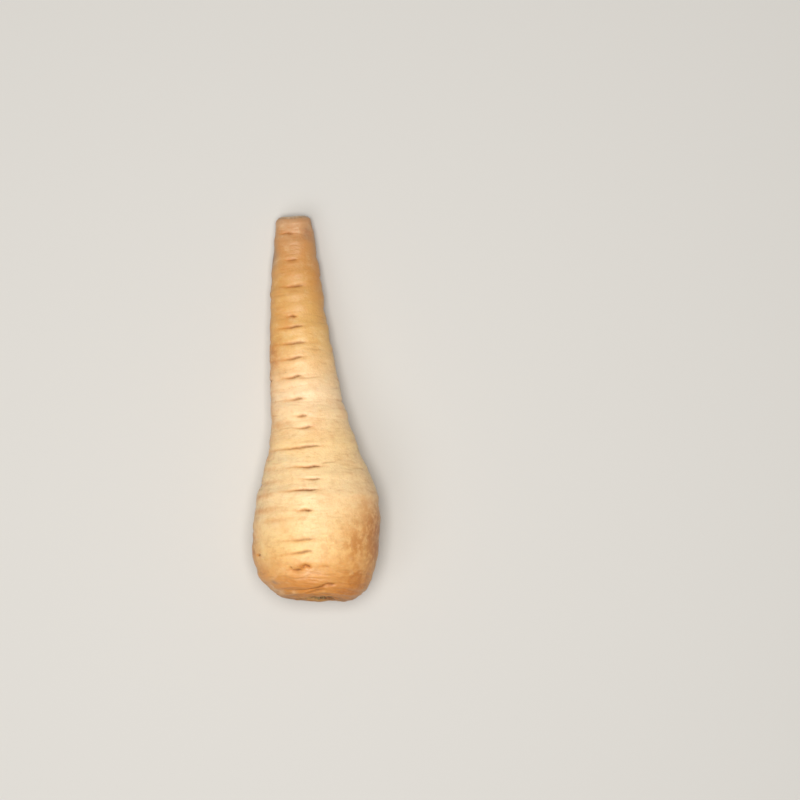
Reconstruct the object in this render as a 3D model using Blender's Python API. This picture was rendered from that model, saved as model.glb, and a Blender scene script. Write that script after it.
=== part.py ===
"""A parsnip, trimmed at both ends and lying on its side.

It grew as one piece, so it is one solid: the taproot, with the cut-off stalks of its leaves
standing in the hollow of its crown. +Y runs from the crown to the tip, +X is to the right seen
from above, and +Z is up. The origin is on the surface that it lies on, under its middle.

The root is worked out about its own axis first. There "place" is the distance along the axis from
the crown's rim, "arc" is the distance along the root's outline from the middle of the crown, and
"turn" is the angle round the axis, 0 to the right and 90 degrees on top. The root is then leaned
until it rests on its shoulder and its tip, and pressed a little flat where it lies.
"""

import math
from dataclasses import dataclass

import bmesh
import bpy
import numpy as np
from mathutils import Matrix

MM = 0.001
SEED = 29

# Driving sizes of the root.
LENGTH = 136 * MM
SHOULDER_RADIUS = 22.1 * MM
SHOULDER_PLACE = 21 * MM
SHOULDER_FULLNESS = 0.8
RIM_RADIUS = 8.4 * MM
HOLLOW_RADIUS = 6.7 * MM
HOLLOW_DEPTH = 3.6 * MM
HOLLOW_DOME = 1.0 * MM
TIP_ROUNDING = 1.4 * MM
FLATNESS = 0.94
PRESSED_FLAT = 0.5 * MM

# How the two ends are turned off square: the crown grew further on its right, and the knife
# that took the tip off leaned back towards the crown.
CROWN_SKEW = math.radians(6.4)
CROWN_SKEW_REACH = 26 * MM
TIP_SLANT = math.radians(16)
TIP_SLANT_REACH = 11 * MM

# The flank from the shoulder to the tip, as (share of the length, share of the shoulder radius).
FLANK = (
    (0.1533, 0.995), (0.2158, 0.985), (0.2664, 0.938), (0.3319, 0.796), (0.3865, 0.698), (0.4451, 0.616),
    (0.5483, 0.546), (0.6526, 0.498), (0.7300, 0.442), (0.8392, 0.393), (0.9265, 0.327), (0.9901, 0.286),
)
# How far the axis wanders to the right, as (share of the length, metres).
BOW = (
    (0.0000, 0.0), (0.0967, 0.4 * MM), (0.1533, 1.1 * MM), (0.2188, 2.0 * MM), (0.2704, 2.3 * MM),
    (0.3796, 2.0 * MM), (0.4451, 1.5 * MM), (0.5106, 0.8 * MM), (0.6496, -0.3 * MM),
    (0.8471, -0.4 * MM), (1.0000, -0.2 * MM),
)

# The section is not quite round: each lobe is (number of lobes, share of the radius, phase,
# turns of phase over the length).
LOBES = ((2, 0.012, 0.7, 0.35), (3, 0.014, 2.1, -0.5), (5, 0.006, 4.0, 0.8))

# Broad swells that ring the root: (height, wavelength along the skin, phase, wander round it).
SWELLS = (
    (0.15 * MM, 10.3 * MM, 0.4, 1.2), (0.07 * MM, 6.1 * MM, 2.2, 2.1), (0.04 * MM, 3.9 * MM, 5.1, 2.8),
)
SWELL_START = 7 * MM
SWELL_END = 4 * MM

# Folds that crowd round the crown, between its rim and the shoulder.
FOLD_HEIGHT = 0.20 * MM
FOLD_SPACING = 3.6 * MM
FOLD_REACH = 11 * MM
FOLD_WANDER = (1.4, 1.0)

# Where the crown is worn: (depth, turn, spread round the root, arc from the rim, reach along it).
WORN = (
    (1.1 * MM, math.radians(80), math.radians(34), 0.0, 4.0 * MM),
    (0.6 * MM, math.radians(188), math.radians(38), 7.0 * MM, 4.5 * MM),
)

# Slits where side roots grew out: half the width of the groove, and its lips and its tail as
# (share of its depth, times as wide, times as long).
SLIT_HALF_WIDTH = 0.85 * MM
LIPS = (0.30, 2.3, 1.2)
TAIL = (0.22, 1.3, 3.4)

# Side roots grow in four rows. The top row and the left one follow the photograph, and the
# other two follow a rule.
RULED_ROWS = (math.radians(350), math.radians(278))
ROW_JITTER = math.radians(7)
ROW_START = 9 * MM
ROW_GAP = (6.5 * MM, 12 * MM)
ROW_HALF = (1.6 * MM, 4.2 * MM)
ROW_DEPTH = (0.35 * MM, 0.75 * MM)

# The skin is smooth where the root lies: (place, reach along the axis), and the reach round it.
RESTS = ((25 * MM, 9 * MM), (LENGTH, 9 * MM))
REST_SPREAD = math.radians(24)
LEAN_ROUNDS = 8

# Mesh of the root: sides round it, and the spacing of its rings away from and at the slits.
SIDES = 44
OPEN_SPACING = 2.3 * MM
CLOSE_SPACING = 1.0 * MM
CLOSE_REACH = 1.5 * MM
RING_COUNTING_STEP = 0.05 * MM
SHARP_ANGLE = math.radians(40)

# How finely the outline is stepped: in each of its curves, and along the flank.
CURVE_STEPS = 24
FLANK_STEPS = 300

# The cut leaf stalks, from the oldest and outermost to the youngest.
STALK_COUNT = 7
STALK_SUNK = 1.6 * MM
STALK_FIRST_TURN = math.radians(205)
STALK_NEXT_TURN = math.radians(137.5)
STALK_RADIUS = (5.2 * MM, 1.7 * MM)
STALK_WALL = (1.1 * MM, 0.9 * MM)
STALK_HALF_ARC = (math.radians(33), math.radians(62))
STALK_TOP = (2.0 * MM, 2.9 * MM)
STALK_TOP_CHANGE = 0.5 * MM
STALK_TOP_WANDER = 2.3
STALK_EDGE_THINNING = 0.8
STALK_FLARE = 1.08
STALK_ARC_STEPS = 7
BUD_RADIUS = 0.7 * MM
BUD_SHOULDER = 1.9 * MM
BUD_TOP = 2.6 * MM
BUD_SIDES = 10

SKIN_COLOUR = (0.80, 0.52, 0.25, 1.0)
SKIN_ROUGHNESS = 0.6


@dataclass(frozen=True)
class Slit:
    """A short slit across the skin, left by a side root."""

    place: float
    turn: float
    half: float
    depth: float
    slant: float = 0.0


def seen(place, turn, half, depth, slant=0.0):
    """A slit that the photograph shows, with its sizes in millimetres and its turn in degrees."""
    return Slit(place * MM, math.radians(turn), half * MM, depth * MM, slant)


TOP_SLITS = (
    seen(128.6, 108, 2.3, 0.50, -0.04), seen(119.3, 97, 1.9, 0.40, -0.02), seen(109.7, 94, 3.3, 0.50, -0.02),
    seen(99.0, 101, 1.4, 0.60, 0.02), seen(95.0, 100, 3.6, 0.55, 0.04), seen(89.2, 101, 4.6, 0.45, 0.01),
    seen(83.7, 103, 3.2, 0.55, 0.08), seen(77.1, 107, 3.0, 0.55, 0.08), seen(69.3, 106, 2.7, 0.50, 0.06),
    seen(63.1, 100, 1.8, 0.50, -0.01), seen(59.0, 96, 2.4, 0.50, 0.07), seen(52.0, 106, 8.0, 0.70, 0.01),
    seen(44.9, 94, 3.9, 0.65, -0.01), seen(40.4, 91, 2.8, 0.45, -0.04), seen(36.6, 100, 4.6, 0.60),
    seen(29.5, 98, 2.2, 0.80, -0.03), seen(19.3, 101, 4.4, 0.35, 0.02), seen(14.9, 101, 4.0, 0.50, 0.09),
    seen(9.5, 103, 3.5, 0.80, 0.04), seen(2.7, 87, 7.0, 0.90, 0.26), seen(2.3, 81, 4.6, 0.60, 0.34),
)
LEFT_SLITS = (
    seen(106.6, 178, 2.4, 0.35), seen(91.2, 178, 2.4, 0.35), seen(77.1, 176, 4.0, 0.60),
    seen(54.1, 178, 3.0, 0.60), seen(40.8, 178, 3.2, 0.40), seen(25.1, 178, 3.2, 0.45),
    seen(15.1, 154, 1.3, 0.60),
)


def smooth_curve(points):
    """A function through the points, with cubic spans whose slopes follow their neighbours."""
    x, y = np.array(points, float).T
    slope = np.gradient(y, x)

    def value(at):
        at = np.clip(at, x[0], x[-1])
        i = np.clip(np.searchsorted(x, at, side="right") - 1, 0, len(x) - 2)
        span = x[i + 1] - x[i]
        t = (at - x[i]) / span
        return (
            y[i] * (1 + 2 * t) * (1 - t) ** 2
            + y[i + 1] * t**2 * (3 - 2 * t)
            + span * (slope[i] * t * (1 - t) ** 2 - slope[i + 1] * t**2 * (1 - t))
        )

    return value


def ease(low, high, at):
    """0 up to low, 1 from high on, and a smooth rise between."""
    t = np.clip((at - low) / (high - low), 0.0, 1.0)
    return t * t * (3 - 2 * t)


def bell(at, spread):
    """1 at 0, falling smoothly to nothing on both sides."""
    return np.exp(-((at / spread) ** 2))


def turn_from(turn, middle):
    """How far turn is from middle, the short way round."""
    return (turn - middle + math.pi) % (2 * math.pi) - math.pi


def outline():
    """The smooth root's outline from the middle of the crown to the middle of the cut tip, in
    fine steps: the places, the radii and the arcs."""
    quarter = np.linspace(0, math.pi / 2, CURVE_STEPS)
    floor = np.linspace(0, HOLLOW_RADIUS, CURVE_STEPS, endpoint=False)
    flank_end = LENGTH - TIP_ROUNDING
    flank = np.linspace(SHOULDER_PLACE, flank_end, FLANK_STEPS)
    flank_radius = SHOULDER_RADIUS * smooth_curve(FLANK)(flank / LENGTH)
    face_radius = flank_radius[-1] - TIP_ROUNDING
    face = np.linspace(face_radius, 0, CURVE_STEPS)
    places = (
        HOLLOW_DEPTH - HOLLOW_DOME * (1 - (floor / HOLLOW_RADIUS) ** 2),
        HOLLOW_DEPTH * (1 - np.sin(quarter))[:-1],
        SHOULDER_PLACE * (1 - np.cos(quarter))[:-1],
        flank[:-1],
        flank_end + TIP_ROUNDING * np.sin(quarter)[:-1],
        np.full(len(face), LENGTH),
    )
    radii = (
        floor,
        RIM_RADIUS - (RIM_RADIUS - HOLLOW_RADIUS) * np.cos(quarter)[:-1],
        RIM_RADIUS + (flank_radius[0] - RIM_RADIUS) * (np.sin(quarter) ** SHOULDER_FULLNESS)[:-1],
        flank_radius[:-1],
        face_radius + TIP_ROUNDING * np.cos(quarter)[:-1],
        face,
    )
    place, radius = np.concatenate(places), np.concatenate(radii)
    steps = np.hypot(np.diff(place), np.diff(radius))
    return place, radius, np.concatenate([[0], np.cumsum(steps)])


OUTLINE_PLACE, OUTLINE_RADIUS, OUTLINE_ARC = outline()
OUTER = np.argmax(OUTLINE_RADIUS >= RIM_RADIUS)
RIM_ARC = OUTLINE_ARC[OUTER]
FACE_ARC = OUTLINE_ARC[-CURVE_STEPS]


def place_at(arc):
    return np.interp(arc, OUTLINE_ARC, OUTLINE_PLACE)


def radius_at(arc):
    return np.interp(arc, OUTLINE_ARC, OUTLINE_RADIUS)


def arc_at(place):
    """The arc of a place on the outside of the root."""
    return np.interp(place, OUTLINE_PLACE[OUTER:], OUTLINE_ARC[OUTER:])


def ruled_slits():
    """The slits of the rows that the photograph doesn't show, spaced by seeded chance."""
    chance = np.random.default_rng(SEED)
    slits = []
    for row in RULED_ROWS:
        place = ROW_START + chance.uniform(0, ROW_GAP[0])
        while place < LENGTH - ROW_START:
            turn = row + chance.uniform(-ROW_JITTER, ROW_JITTER)
            half = chance.uniform(*ROW_HALF)
            slits.append(Slit(place, turn, half, chance.uniform(*ROW_DEPTH)))
            place += chance.uniform(*ROW_GAP)
    return tuple(slits)


SLITS = TOP_SLITS + LEFT_SLITS + ruled_slits()


def slit_relief(slit, arc, turn):
    """The groove of one slit, its raised lips and its long shallow tail."""
    along = turn_from(turn, slit.turn) * radius_at(arc_at(slit.place))
    across = arc - arc_at(slit.place) + slit.slant * along

    def mark(share, width, reach):
        return share * bell(across, SLIT_HALF_WIDTH * width) * bell(along, slit.half * reach)

    groove = mark(1 + LIPS[0], 1.0, 1.0)
    return slit.depth * (mark(*LIPS) - groove - mark(*TAIL))


def swell_relief(arc, turn):
    """Broad rings round the root, fading out towards the crown and the tip."""
    outside = arc - RIM_ARC
    height = 0.0
    for swell, wavelength, phase, wander in SWELLS:
        wobble = wander * (np.sin(turn + phase) + np.sin(2 * turn - phase) / 2)
        height = height + swell * np.sin(2 * math.pi * outside / wavelength + phase + wobble)
    return height * ease(0, SWELL_START, outside) * (1 - ease(FACE_ARC - SWELL_END, FACE_ARC, arc))


def fold_relief(arc, turn):
    """Folds crowded between the crown's rim and the shoulder."""
    outside = arc - RIM_ARC
    wobble = FOLD_WANDER[0] * np.sin(2 * turn) + FOLD_WANDER[1] * np.sin(3 * turn)
    folds = np.sin(2 * math.pi * outside / FOLD_SPACING + wobble)
    staying = ease(0, FOLD_SPACING / 2, outside) * (1 - ease(FOLD_REACH / 2, FOLD_REACH, outside))
    return FOLD_HEIGHT * folds * staying


def relief(arc, turn):
    """Height of the skin over the smooth root."""
    height = swell_relief(arc, turn) + fold_relief(arc, turn)
    height = height + sum(slit_relief(slit, arc, turn) for slit in SLITS)
    for rest, reach in RESTS:
        lying = bell(turn_from(turn, -math.pi / 2), REST_SPREAD) * bell(arc - arc_at(rest), reach)
        height = height * (1 - lying)
    on_skin = ease(RIM_ARC - SLIT_HALF_WIDTH, RIM_ARC + SLIT_HALF_WIDTH, arc)
    return height * on_skin * (1 - ease(FACE_ARC - 2 * TIP_ROUNDING, FACE_ARC, arc))


def root_points(arc, turn):
    """Points of the root about its own axis, for arrays of arc and turn."""
    place, radius = place_at(arc), radius_at(arc)
    step = SLIT_HALF_WIDTH / 2
    along = place_at(arc + step) - place_at(arc - step)
    outwards = radius_at(arc + step) - radius_at(arc - step)
    length = np.hypot(along, outwards)
    raised = relief(arc, turn)
    for lobes, share, phase, wander in LOBES:
        lobe = np.sin(lobes * turn + phase + 2 * math.pi * wander * place / LENGTH)
        raised = raised + share * radius * lobe * ease(RIM_ARC, RIM_ARC + SHOULDER_PLACE, arc)
    place = place - raised * outwards / length
    radius = radius + raised * along / length
    skew = math.tan(CROWN_SKEW) * (1 - ease(0, CROWN_SKEW_REACH, place))
    slant = math.tan(TIP_SLANT) * ease(LENGTH - TIP_SLANT_REACH, LENGTH, place)
    shift = -skew * radius * np.cos(turn) - slant * radius * np.sin(turn)
    for depth, middle, spread, offset, reach in WORN:
        worn = bell(turn_from(turn, middle), spread) * bell(arc - RIM_ARC - offset, reach)
        shift = shift + depth * worn
    x = smooth_curve(BOW)(place / LENGTH) + radius * np.cos(turn)
    return np.stack([x, place + shift, FLATNESS * radius * np.sin(turn)], axis=-1)


def ring_arcs():
    """Where the mesh's rings go along the outline: closer together at the rim and the slits."""
    fine = np.arange(0, OUTLINE_ARC[-1], RING_COUNTING_STEP)
    near = bell(fine - RIM_ARC, 3 * CLOSE_REACH)
    for slit in TOP_SLITS:
        near = np.maximum(near, bell(fine - arc_at(slit.place), CLOSE_REACH))
    spacing = OPEN_SPACING + (CLOSE_SPACING - OPEN_SPACING) * near
    counted = np.concatenate([[0], np.cumsum(np.diff(fine) / spacing[:-1])])
    steps = round(counted[-1])
    return np.interp(np.linspace(0, counted[-1], steps + 1), counted, fine)[1:-1]


def resting_place(points):
    """The lean and lift that lay the points of the root on its shoulder and its tip."""
    points = points.reshape(-1, 3)
    tip_half = points[:, 1] > LENGTH / 2
    lean = 0.0
    for _ in range(LEAN_ROUNDS):
        along = points[:, 1] * math.cos(lean) + points[:, 2] * math.sin(lean)
        height = points[:, 2] * math.cos(lean) - points[:, 1] * math.sin(lean)
        under_shoulder = np.argmin(np.where(tip_half, math.inf, height))
        under_tip = np.argmin(np.where(tip_half, height, math.inf))
        rise = height[under_tip] - height[under_shoulder]
        lean += math.atan2(rise, along[under_tip] - along[under_shoulder])
    lift = -PRESSED_FLAT - height.min()
    return Matrix.Translation((0, 0, lift)) @ Matrix.Rotation(-lean, 4, "X")


def skin_material():
    material = bpy.data.materials.new("parsnip skin")
    material.diffuse_color = SKIN_COLOUR
    material.use_nodes = True
    shader = material.node_tree.nodes["Principled BSDF"]
    shader.inputs["Base Color"].default_value = SKIN_COLOUR
    shader.inputs["Roughness"].default_value = SKIN_ROUGHNESS
    return material


def new_object(name, bm, collection):
    """An object made of the bmesh, with its faces turned outwards."""
    bmesh.ops.recalc_face_normals(bm, faces=bm.faces)
    mesh = bpy.data.meshes.new(name)
    bm.to_mesh(mesh)
    bm.free()
    obj = bpy.data.objects.new(name, mesh)
    collection.objects.link(obj)
    return obj


def loft(rings):
    """A solid skinned over rings of points, each end closed by a face or, where the end ring is
    a single point, by a fan."""
    bm = bmesh.new()
    rings = [[bm.verts.new(point) for point in ring] for ring in rings]
    for ring, following in zip(rings, rings[1:]):
        sides = max(len(ring), len(following))
        for i in range(sides):
            j = (i + 1) % sides
            corners = (ring[i % len(ring)], ring[j % len(ring)])
            corners += (following[j % len(following)], following[i % len(following)])
            bm.faces.new(tuple(dict.fromkeys(corners)))
    for end in (rings[0], rings[-1]):
        if len(end) > 1:
            bm.faces.new(end)
    return bm


def taproot():
    """The bare root about its own axis, and the points that it is made of."""
    turns = 2 * math.pi * np.arange(SIDES) / SIDES - math.pi / 2
    points = root_points(*np.meshgrid(ring_arcs(), turns, indexing="ij"))
    first, last = root_points(np.array([0.0, OUTLINE_ARC[-1]]), np.zeros(2))
    return loft([[first], *points, [last]]), points


def stalk_share(number, ends):
    """A size that changes evenly from the oldest stalk to the youngest."""
    return ends[0] + (ends[1] - ends[0]) * number / (STALK_COUNT - 1)


def section(radius, around, height):
    """A level ring of points, for arrays of radius and angle."""
    return np.stack([radius * np.cos(around), radius * np.sin(around), 0 * around + height], axis=-1)


def stalk(number):
    """One leaf stalk, cut off short: a crescent in section that clasps the younger ones. Its
    height is measured from the lowest part of the hollow's floor."""
    middle = stalk_share(number, STALK_RADIUS)
    half_wall = stalk_share(number, STALK_WALL) / 2
    half_arc = stalk_share(number, STALK_HALF_ARC)
    top = stalk_share(number, STALK_TOP) + STALK_TOP_CHANGE * math.sin(STALK_TOP_WANDER * number)
    turn = STALK_FIRST_TURN + number * STALK_NEXT_TURN
    angles = np.linspace(-half_arc, half_arc, STALK_ARC_STEPS + 1)
    walls = half_wall * np.sqrt(1 - STALK_EDGE_THINNING * (angles / half_arc) ** 2)
    radius = np.concatenate([middle + walls, (middle - walls)[::-1]])
    around = turn + np.concatenate([angles, angles[::-1]])
    foot = section(radius, around, -STALK_SUNK)
    waist = section(radius, around, top / 2)
    bm = loft([foot, waist, section(STALK_FLARE * radius, around, top)])
    bmesh.ops.triangulate(bm, faces=[face for face in bm.faces if len(face.verts) > 4])
    return bm


def bud():
    """The growing point in the middle of the stalks."""
    around = np.linspace(0, 2 * math.pi, BUD_SIDES, endpoint=False)
    foot = section(BUD_RADIUS, around, -STALK_SUNK)
    return loft([foot, section(BUD_RADIUS, around, BUD_SHOULDER), [(0, 0, BUD_TOP)]])


def join_in_hollow(root, pieces):
    """Stands the pieces in the hollow of the crown and joins them to the root in one solid."""
    growing = bpy.data.collections.new("stalks")
    bpy.context.scene.collection.children.link(growing)
    floor = Matrix.Translation((0, HOLLOW_DEPTH, 0)) @ Matrix.Diagonal((1, 1, FLATNESS, 1))
    outwards = Matrix.Rotation(-CROWN_SKEW, 4, "Z") @ Matrix.Rotation(math.pi / 2, 4, "X")
    for number, bm in enumerate(pieces):
        bmesh.ops.transform(bm, matrix=floor @ outwards, verts=bm.verts)
        new_object(f"stalk_{number}", bm, growing)
    union = root.modifiers.new("join stalks", "BOOLEAN")
    union.operation = "UNION"
    union.operand_type = "COLLECTION"
    union.collection = growing
    graph = bpy.context.evaluated_depsgraph_get()
    joined = bpy.data.meshes.new_from_object(root.evaluated_get(graph))
    root.modifiers.clear()
    root.data = joined
    for piece in list(growing.objects):
        bpy.data.objects.remove(piece)
    bpy.data.collections.remove(growing)


def lay_down(root, resting):
    """Leans the root to rest, presses it flat where it lies, and puts the origin under the
    middle of its bounding box."""
    mesh = root.data
    mesh.transform(resting)
    points = np.array([vertex.co for vertex in mesh.vertices])
    points[:, 2] = np.maximum(points[:, 2], 0.0)
    middle = (points.min(axis=0) + points.max(axis=0)) / 2
    points[:, :2] -= middle[:2]
    mesh.vertices.foreach_set("co", points.ravel())
    mesh.update()


def main():
    for obj in list(bpy.data.objects):
        bpy.data.objects.remove(obj)
    bm, points = taproot()
    parsnip = new_object("parsnip", bm, bpy.context.scene.collection)
    join_in_hollow(parsnip, [stalk(number) for number in range(STALK_COUNT)] + [bud()])
    lay_down(parsnip, resting_place(points))
    parsnip.data.materials.append(skin_material())
    parsnip.data.shade_smooth()
    parsnip.data.set_sharp_from_angle(angle=SHARP_ANGLE)


main()
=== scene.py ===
"""The looks of a parsnip, trimmed at both ends and lying on its side.

+Y runs from the crown to the tip, +X is to the right seen from above, and +Z is up. Points of the
root are worked out about its own axis first, as its solid is: "place" is the distance along the
axis from the crown's rim, "arc" is the distance along the outline from the middle of the crown,
and "turn" is the angle round the axis, 0 to the right and 90 degrees on top.
"""

import logging
import math
from dataclasses import dataclass, field
from enum import Enum
from typing import Callable, Iterable, Optional, Union

import bpy
import numpy as np
from mathutils import Matrix, Vector


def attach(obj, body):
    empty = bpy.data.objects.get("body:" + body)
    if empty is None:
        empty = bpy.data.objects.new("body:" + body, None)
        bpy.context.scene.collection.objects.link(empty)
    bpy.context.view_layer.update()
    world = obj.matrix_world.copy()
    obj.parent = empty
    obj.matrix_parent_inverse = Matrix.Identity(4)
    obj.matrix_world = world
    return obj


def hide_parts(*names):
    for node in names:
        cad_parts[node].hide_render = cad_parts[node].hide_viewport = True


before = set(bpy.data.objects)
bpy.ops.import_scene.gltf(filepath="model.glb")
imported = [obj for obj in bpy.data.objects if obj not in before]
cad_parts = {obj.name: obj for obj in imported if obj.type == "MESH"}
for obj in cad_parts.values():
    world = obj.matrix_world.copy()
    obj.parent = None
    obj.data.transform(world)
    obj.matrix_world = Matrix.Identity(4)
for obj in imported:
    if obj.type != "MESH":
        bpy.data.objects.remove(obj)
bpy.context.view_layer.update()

LOG = logging.getLogger("parsnip")

MM = 0.001
SEED = 29
BODY = "root"
NODE = "parsnip"

Array = np.ndarray
Piece = bpy.types.Object
Material = bpy.types.Material
Tree = bpy.types.NodeTree
Node = bpy.types.Node
Colour = tuple[float, float, float, float]
Socket = bpy.types.NodeSocket
Fed = Union[Socket, float, int, bool, tuple]
Stops = tuple[tuple[float, Colour], ...]

FLOAT, VECTOR, SHAPE = "NodeSocketFloat", "NodeSocketVector", "NodeSocketGeometry"
MATERIAL, WHOLE = "NodeSocketMaterial", "NodeSocketInt"

TINT_SHARE = 0.2
BELL_REACH = 3


class Mark(str, Enum):
    """The values that a mesh carries for its materials and its Geometry Nodes."""

    WOUND = "wound"
    ALONG = "along"
    SKIN = "skin"
    SCAR = "scar"
    HALO = "halo"
    CREASE = "crease"
    WRINKLE = "wrinkle"
    CROWN = "crown"
    BRUISE = "bruise"
    # Brown spots on the skin, and painted shade along its sides.
    OCHRE = "ochre"
    CUT = "cut"
    HEIGHT = "height"
    FACING = "facing"
    LYING = "lying"
    SIZE = "size"


def smooth_curve(points: Iterable[tuple[float, float]]) -> Callable[[Array], Array]:
    """Makes a function that passes smoothly through the points.

    Args:
        points: the points as (x, y), in the order of x.

    Returns:
        A function of x, made of cubic spans whose slopes follow their neighbours.
    """
    x, y = np.array(points, float).T
    slope = np.gradient(y, x)

    def value(at: Array) -> Array:
        """The curve's height at x, held level past its ends.

        Args:
            at: the values of x.

        Returns:
            The heights.
        """
        at = np.clip(at, x[0], x[-1])
        i = np.clip(np.searchsorted(x, at, side="right") - 1, 0, len(x) - 2)
        span = x[i + 1] - x[i]
        t = (at - x[i]) / span
        return (
            y[i] * (1 + 2 * t) * (1 - t) ** 2
            + y[i + 1] * t**2 * (3 - 2 * t)
            + span * (slope[i] * t * (1 - t) ** 2 - slope[i + 1] * t**2 * (1 - t))
        )

    return value


def ease(low: float, high: float, at: Array) -> Array:
    """0 up to low, 1 from high on, and a smooth rise between."""
    t = np.clip((at - low) / (high - low), 0.0, 1.0)
    return t * t * (3 - 2 * t)


def bell(at: Array, spread: float) -> Array:
    """1 at 0, falling smoothly to nothing on both sides."""
    return np.exp(-((at / spread) ** 2))


def lens(at: Array, half: Union[float, Array]) -> Array:
    """1 near 0, falling quickly to nothing past half on both sides."""
    return np.exp(-((at / half) ** 4))


def turn_from(turn: Array, middle: float) -> Array:
    """How far turn is from middle, the short way round."""
    return (turn - middle + math.pi) % (2 * math.pi) - math.pi


def paint(red: int, green: int, blue: int) -> Colour:
    """The linear colour of a screen colour given as numbers from 0 to 255."""
    shares = (red / 255, green / 255, blue / 255)
    return (*(s / 12.92 if s <= 0.04045 else ((s + 0.055) / 1.055) ** 2.4 for s in shares), 1.0)


def tones(*stops: tuple) -> Stops:
    """The stops of a ramp, each given as its place from 0 to 1 and its screen colour."""
    return tuple((at, paint(*tone)) for at, *tone in stops)


def mesh_object(name: str, points: Array, faces: list) -> Piece:
    """Makes an object of points and faces, with its normals outwards and shaded smooth.

    Args:
        name: the object's name.
        points: the points, as rows of x, y and z in metres.
        faces: the faces, as rows of point numbers.

    Returns:
        The object, in the scene and at its origin.
    """
    mesh = bpy.data.meshes.new(name)
    mesh.from_pydata(points.tolist(), [], faces)
    mesh.update()
    mesh.shade_smooth()
    obj = bpy.data.objects.new(name, mesh)
    bpy.context.scene.collection.objects.link(obj)
    return obj


def carry(obj: Piece, mark: Mark, values: Array) -> None:
    """Stores a number or a vector for each point of a mesh.

    Args:
        obj: the mesh object.
        mark: the name that the values go by.
        values: one number or one row of three for each point.
    """
    kind = "FLOAT_VECTOR" if values.ndim == 2 else "FLOAT"
    attribute = obj.data.attributes.new(mark.value, kind, "POINT")
    attribute.data.foreach_set("vector" if values.ndim == 2 else "value", values.astype(np.float32).ravel())


def ring_faces(first: Array, second: Array) -> list:
    """Joins two closed rings of points with faces.

    Args:
        first: the point numbers of the first ring, or one point.
        second: those of the second: as many, half as many, or one point.

    Returns:
        The faces, as rows of point numbers.
    """
    if len(first) == len(second):
        return np.stack([first, np.roll(first, -1), np.roll(second, -1), second], 1).tolist()
    if len(first) == 1:
        return np.stack([np.full(len(second), first[0]), np.roll(second, -1), second], 1).tolist()
    if len(second) == 1:
        return np.stack([first, np.roll(first, -1), np.full(len(first), second[0])], 1).tolist()
    even, odd, after = first[::2], first[1::2], np.roll(first[::2], -1)
    following = np.roll(second, -1)
    corners = ((even, odd, second), (odd, following, second), (odd, after, following))
    return np.concatenate([np.stack(three, 1) for three in corners]).tolist()


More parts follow.
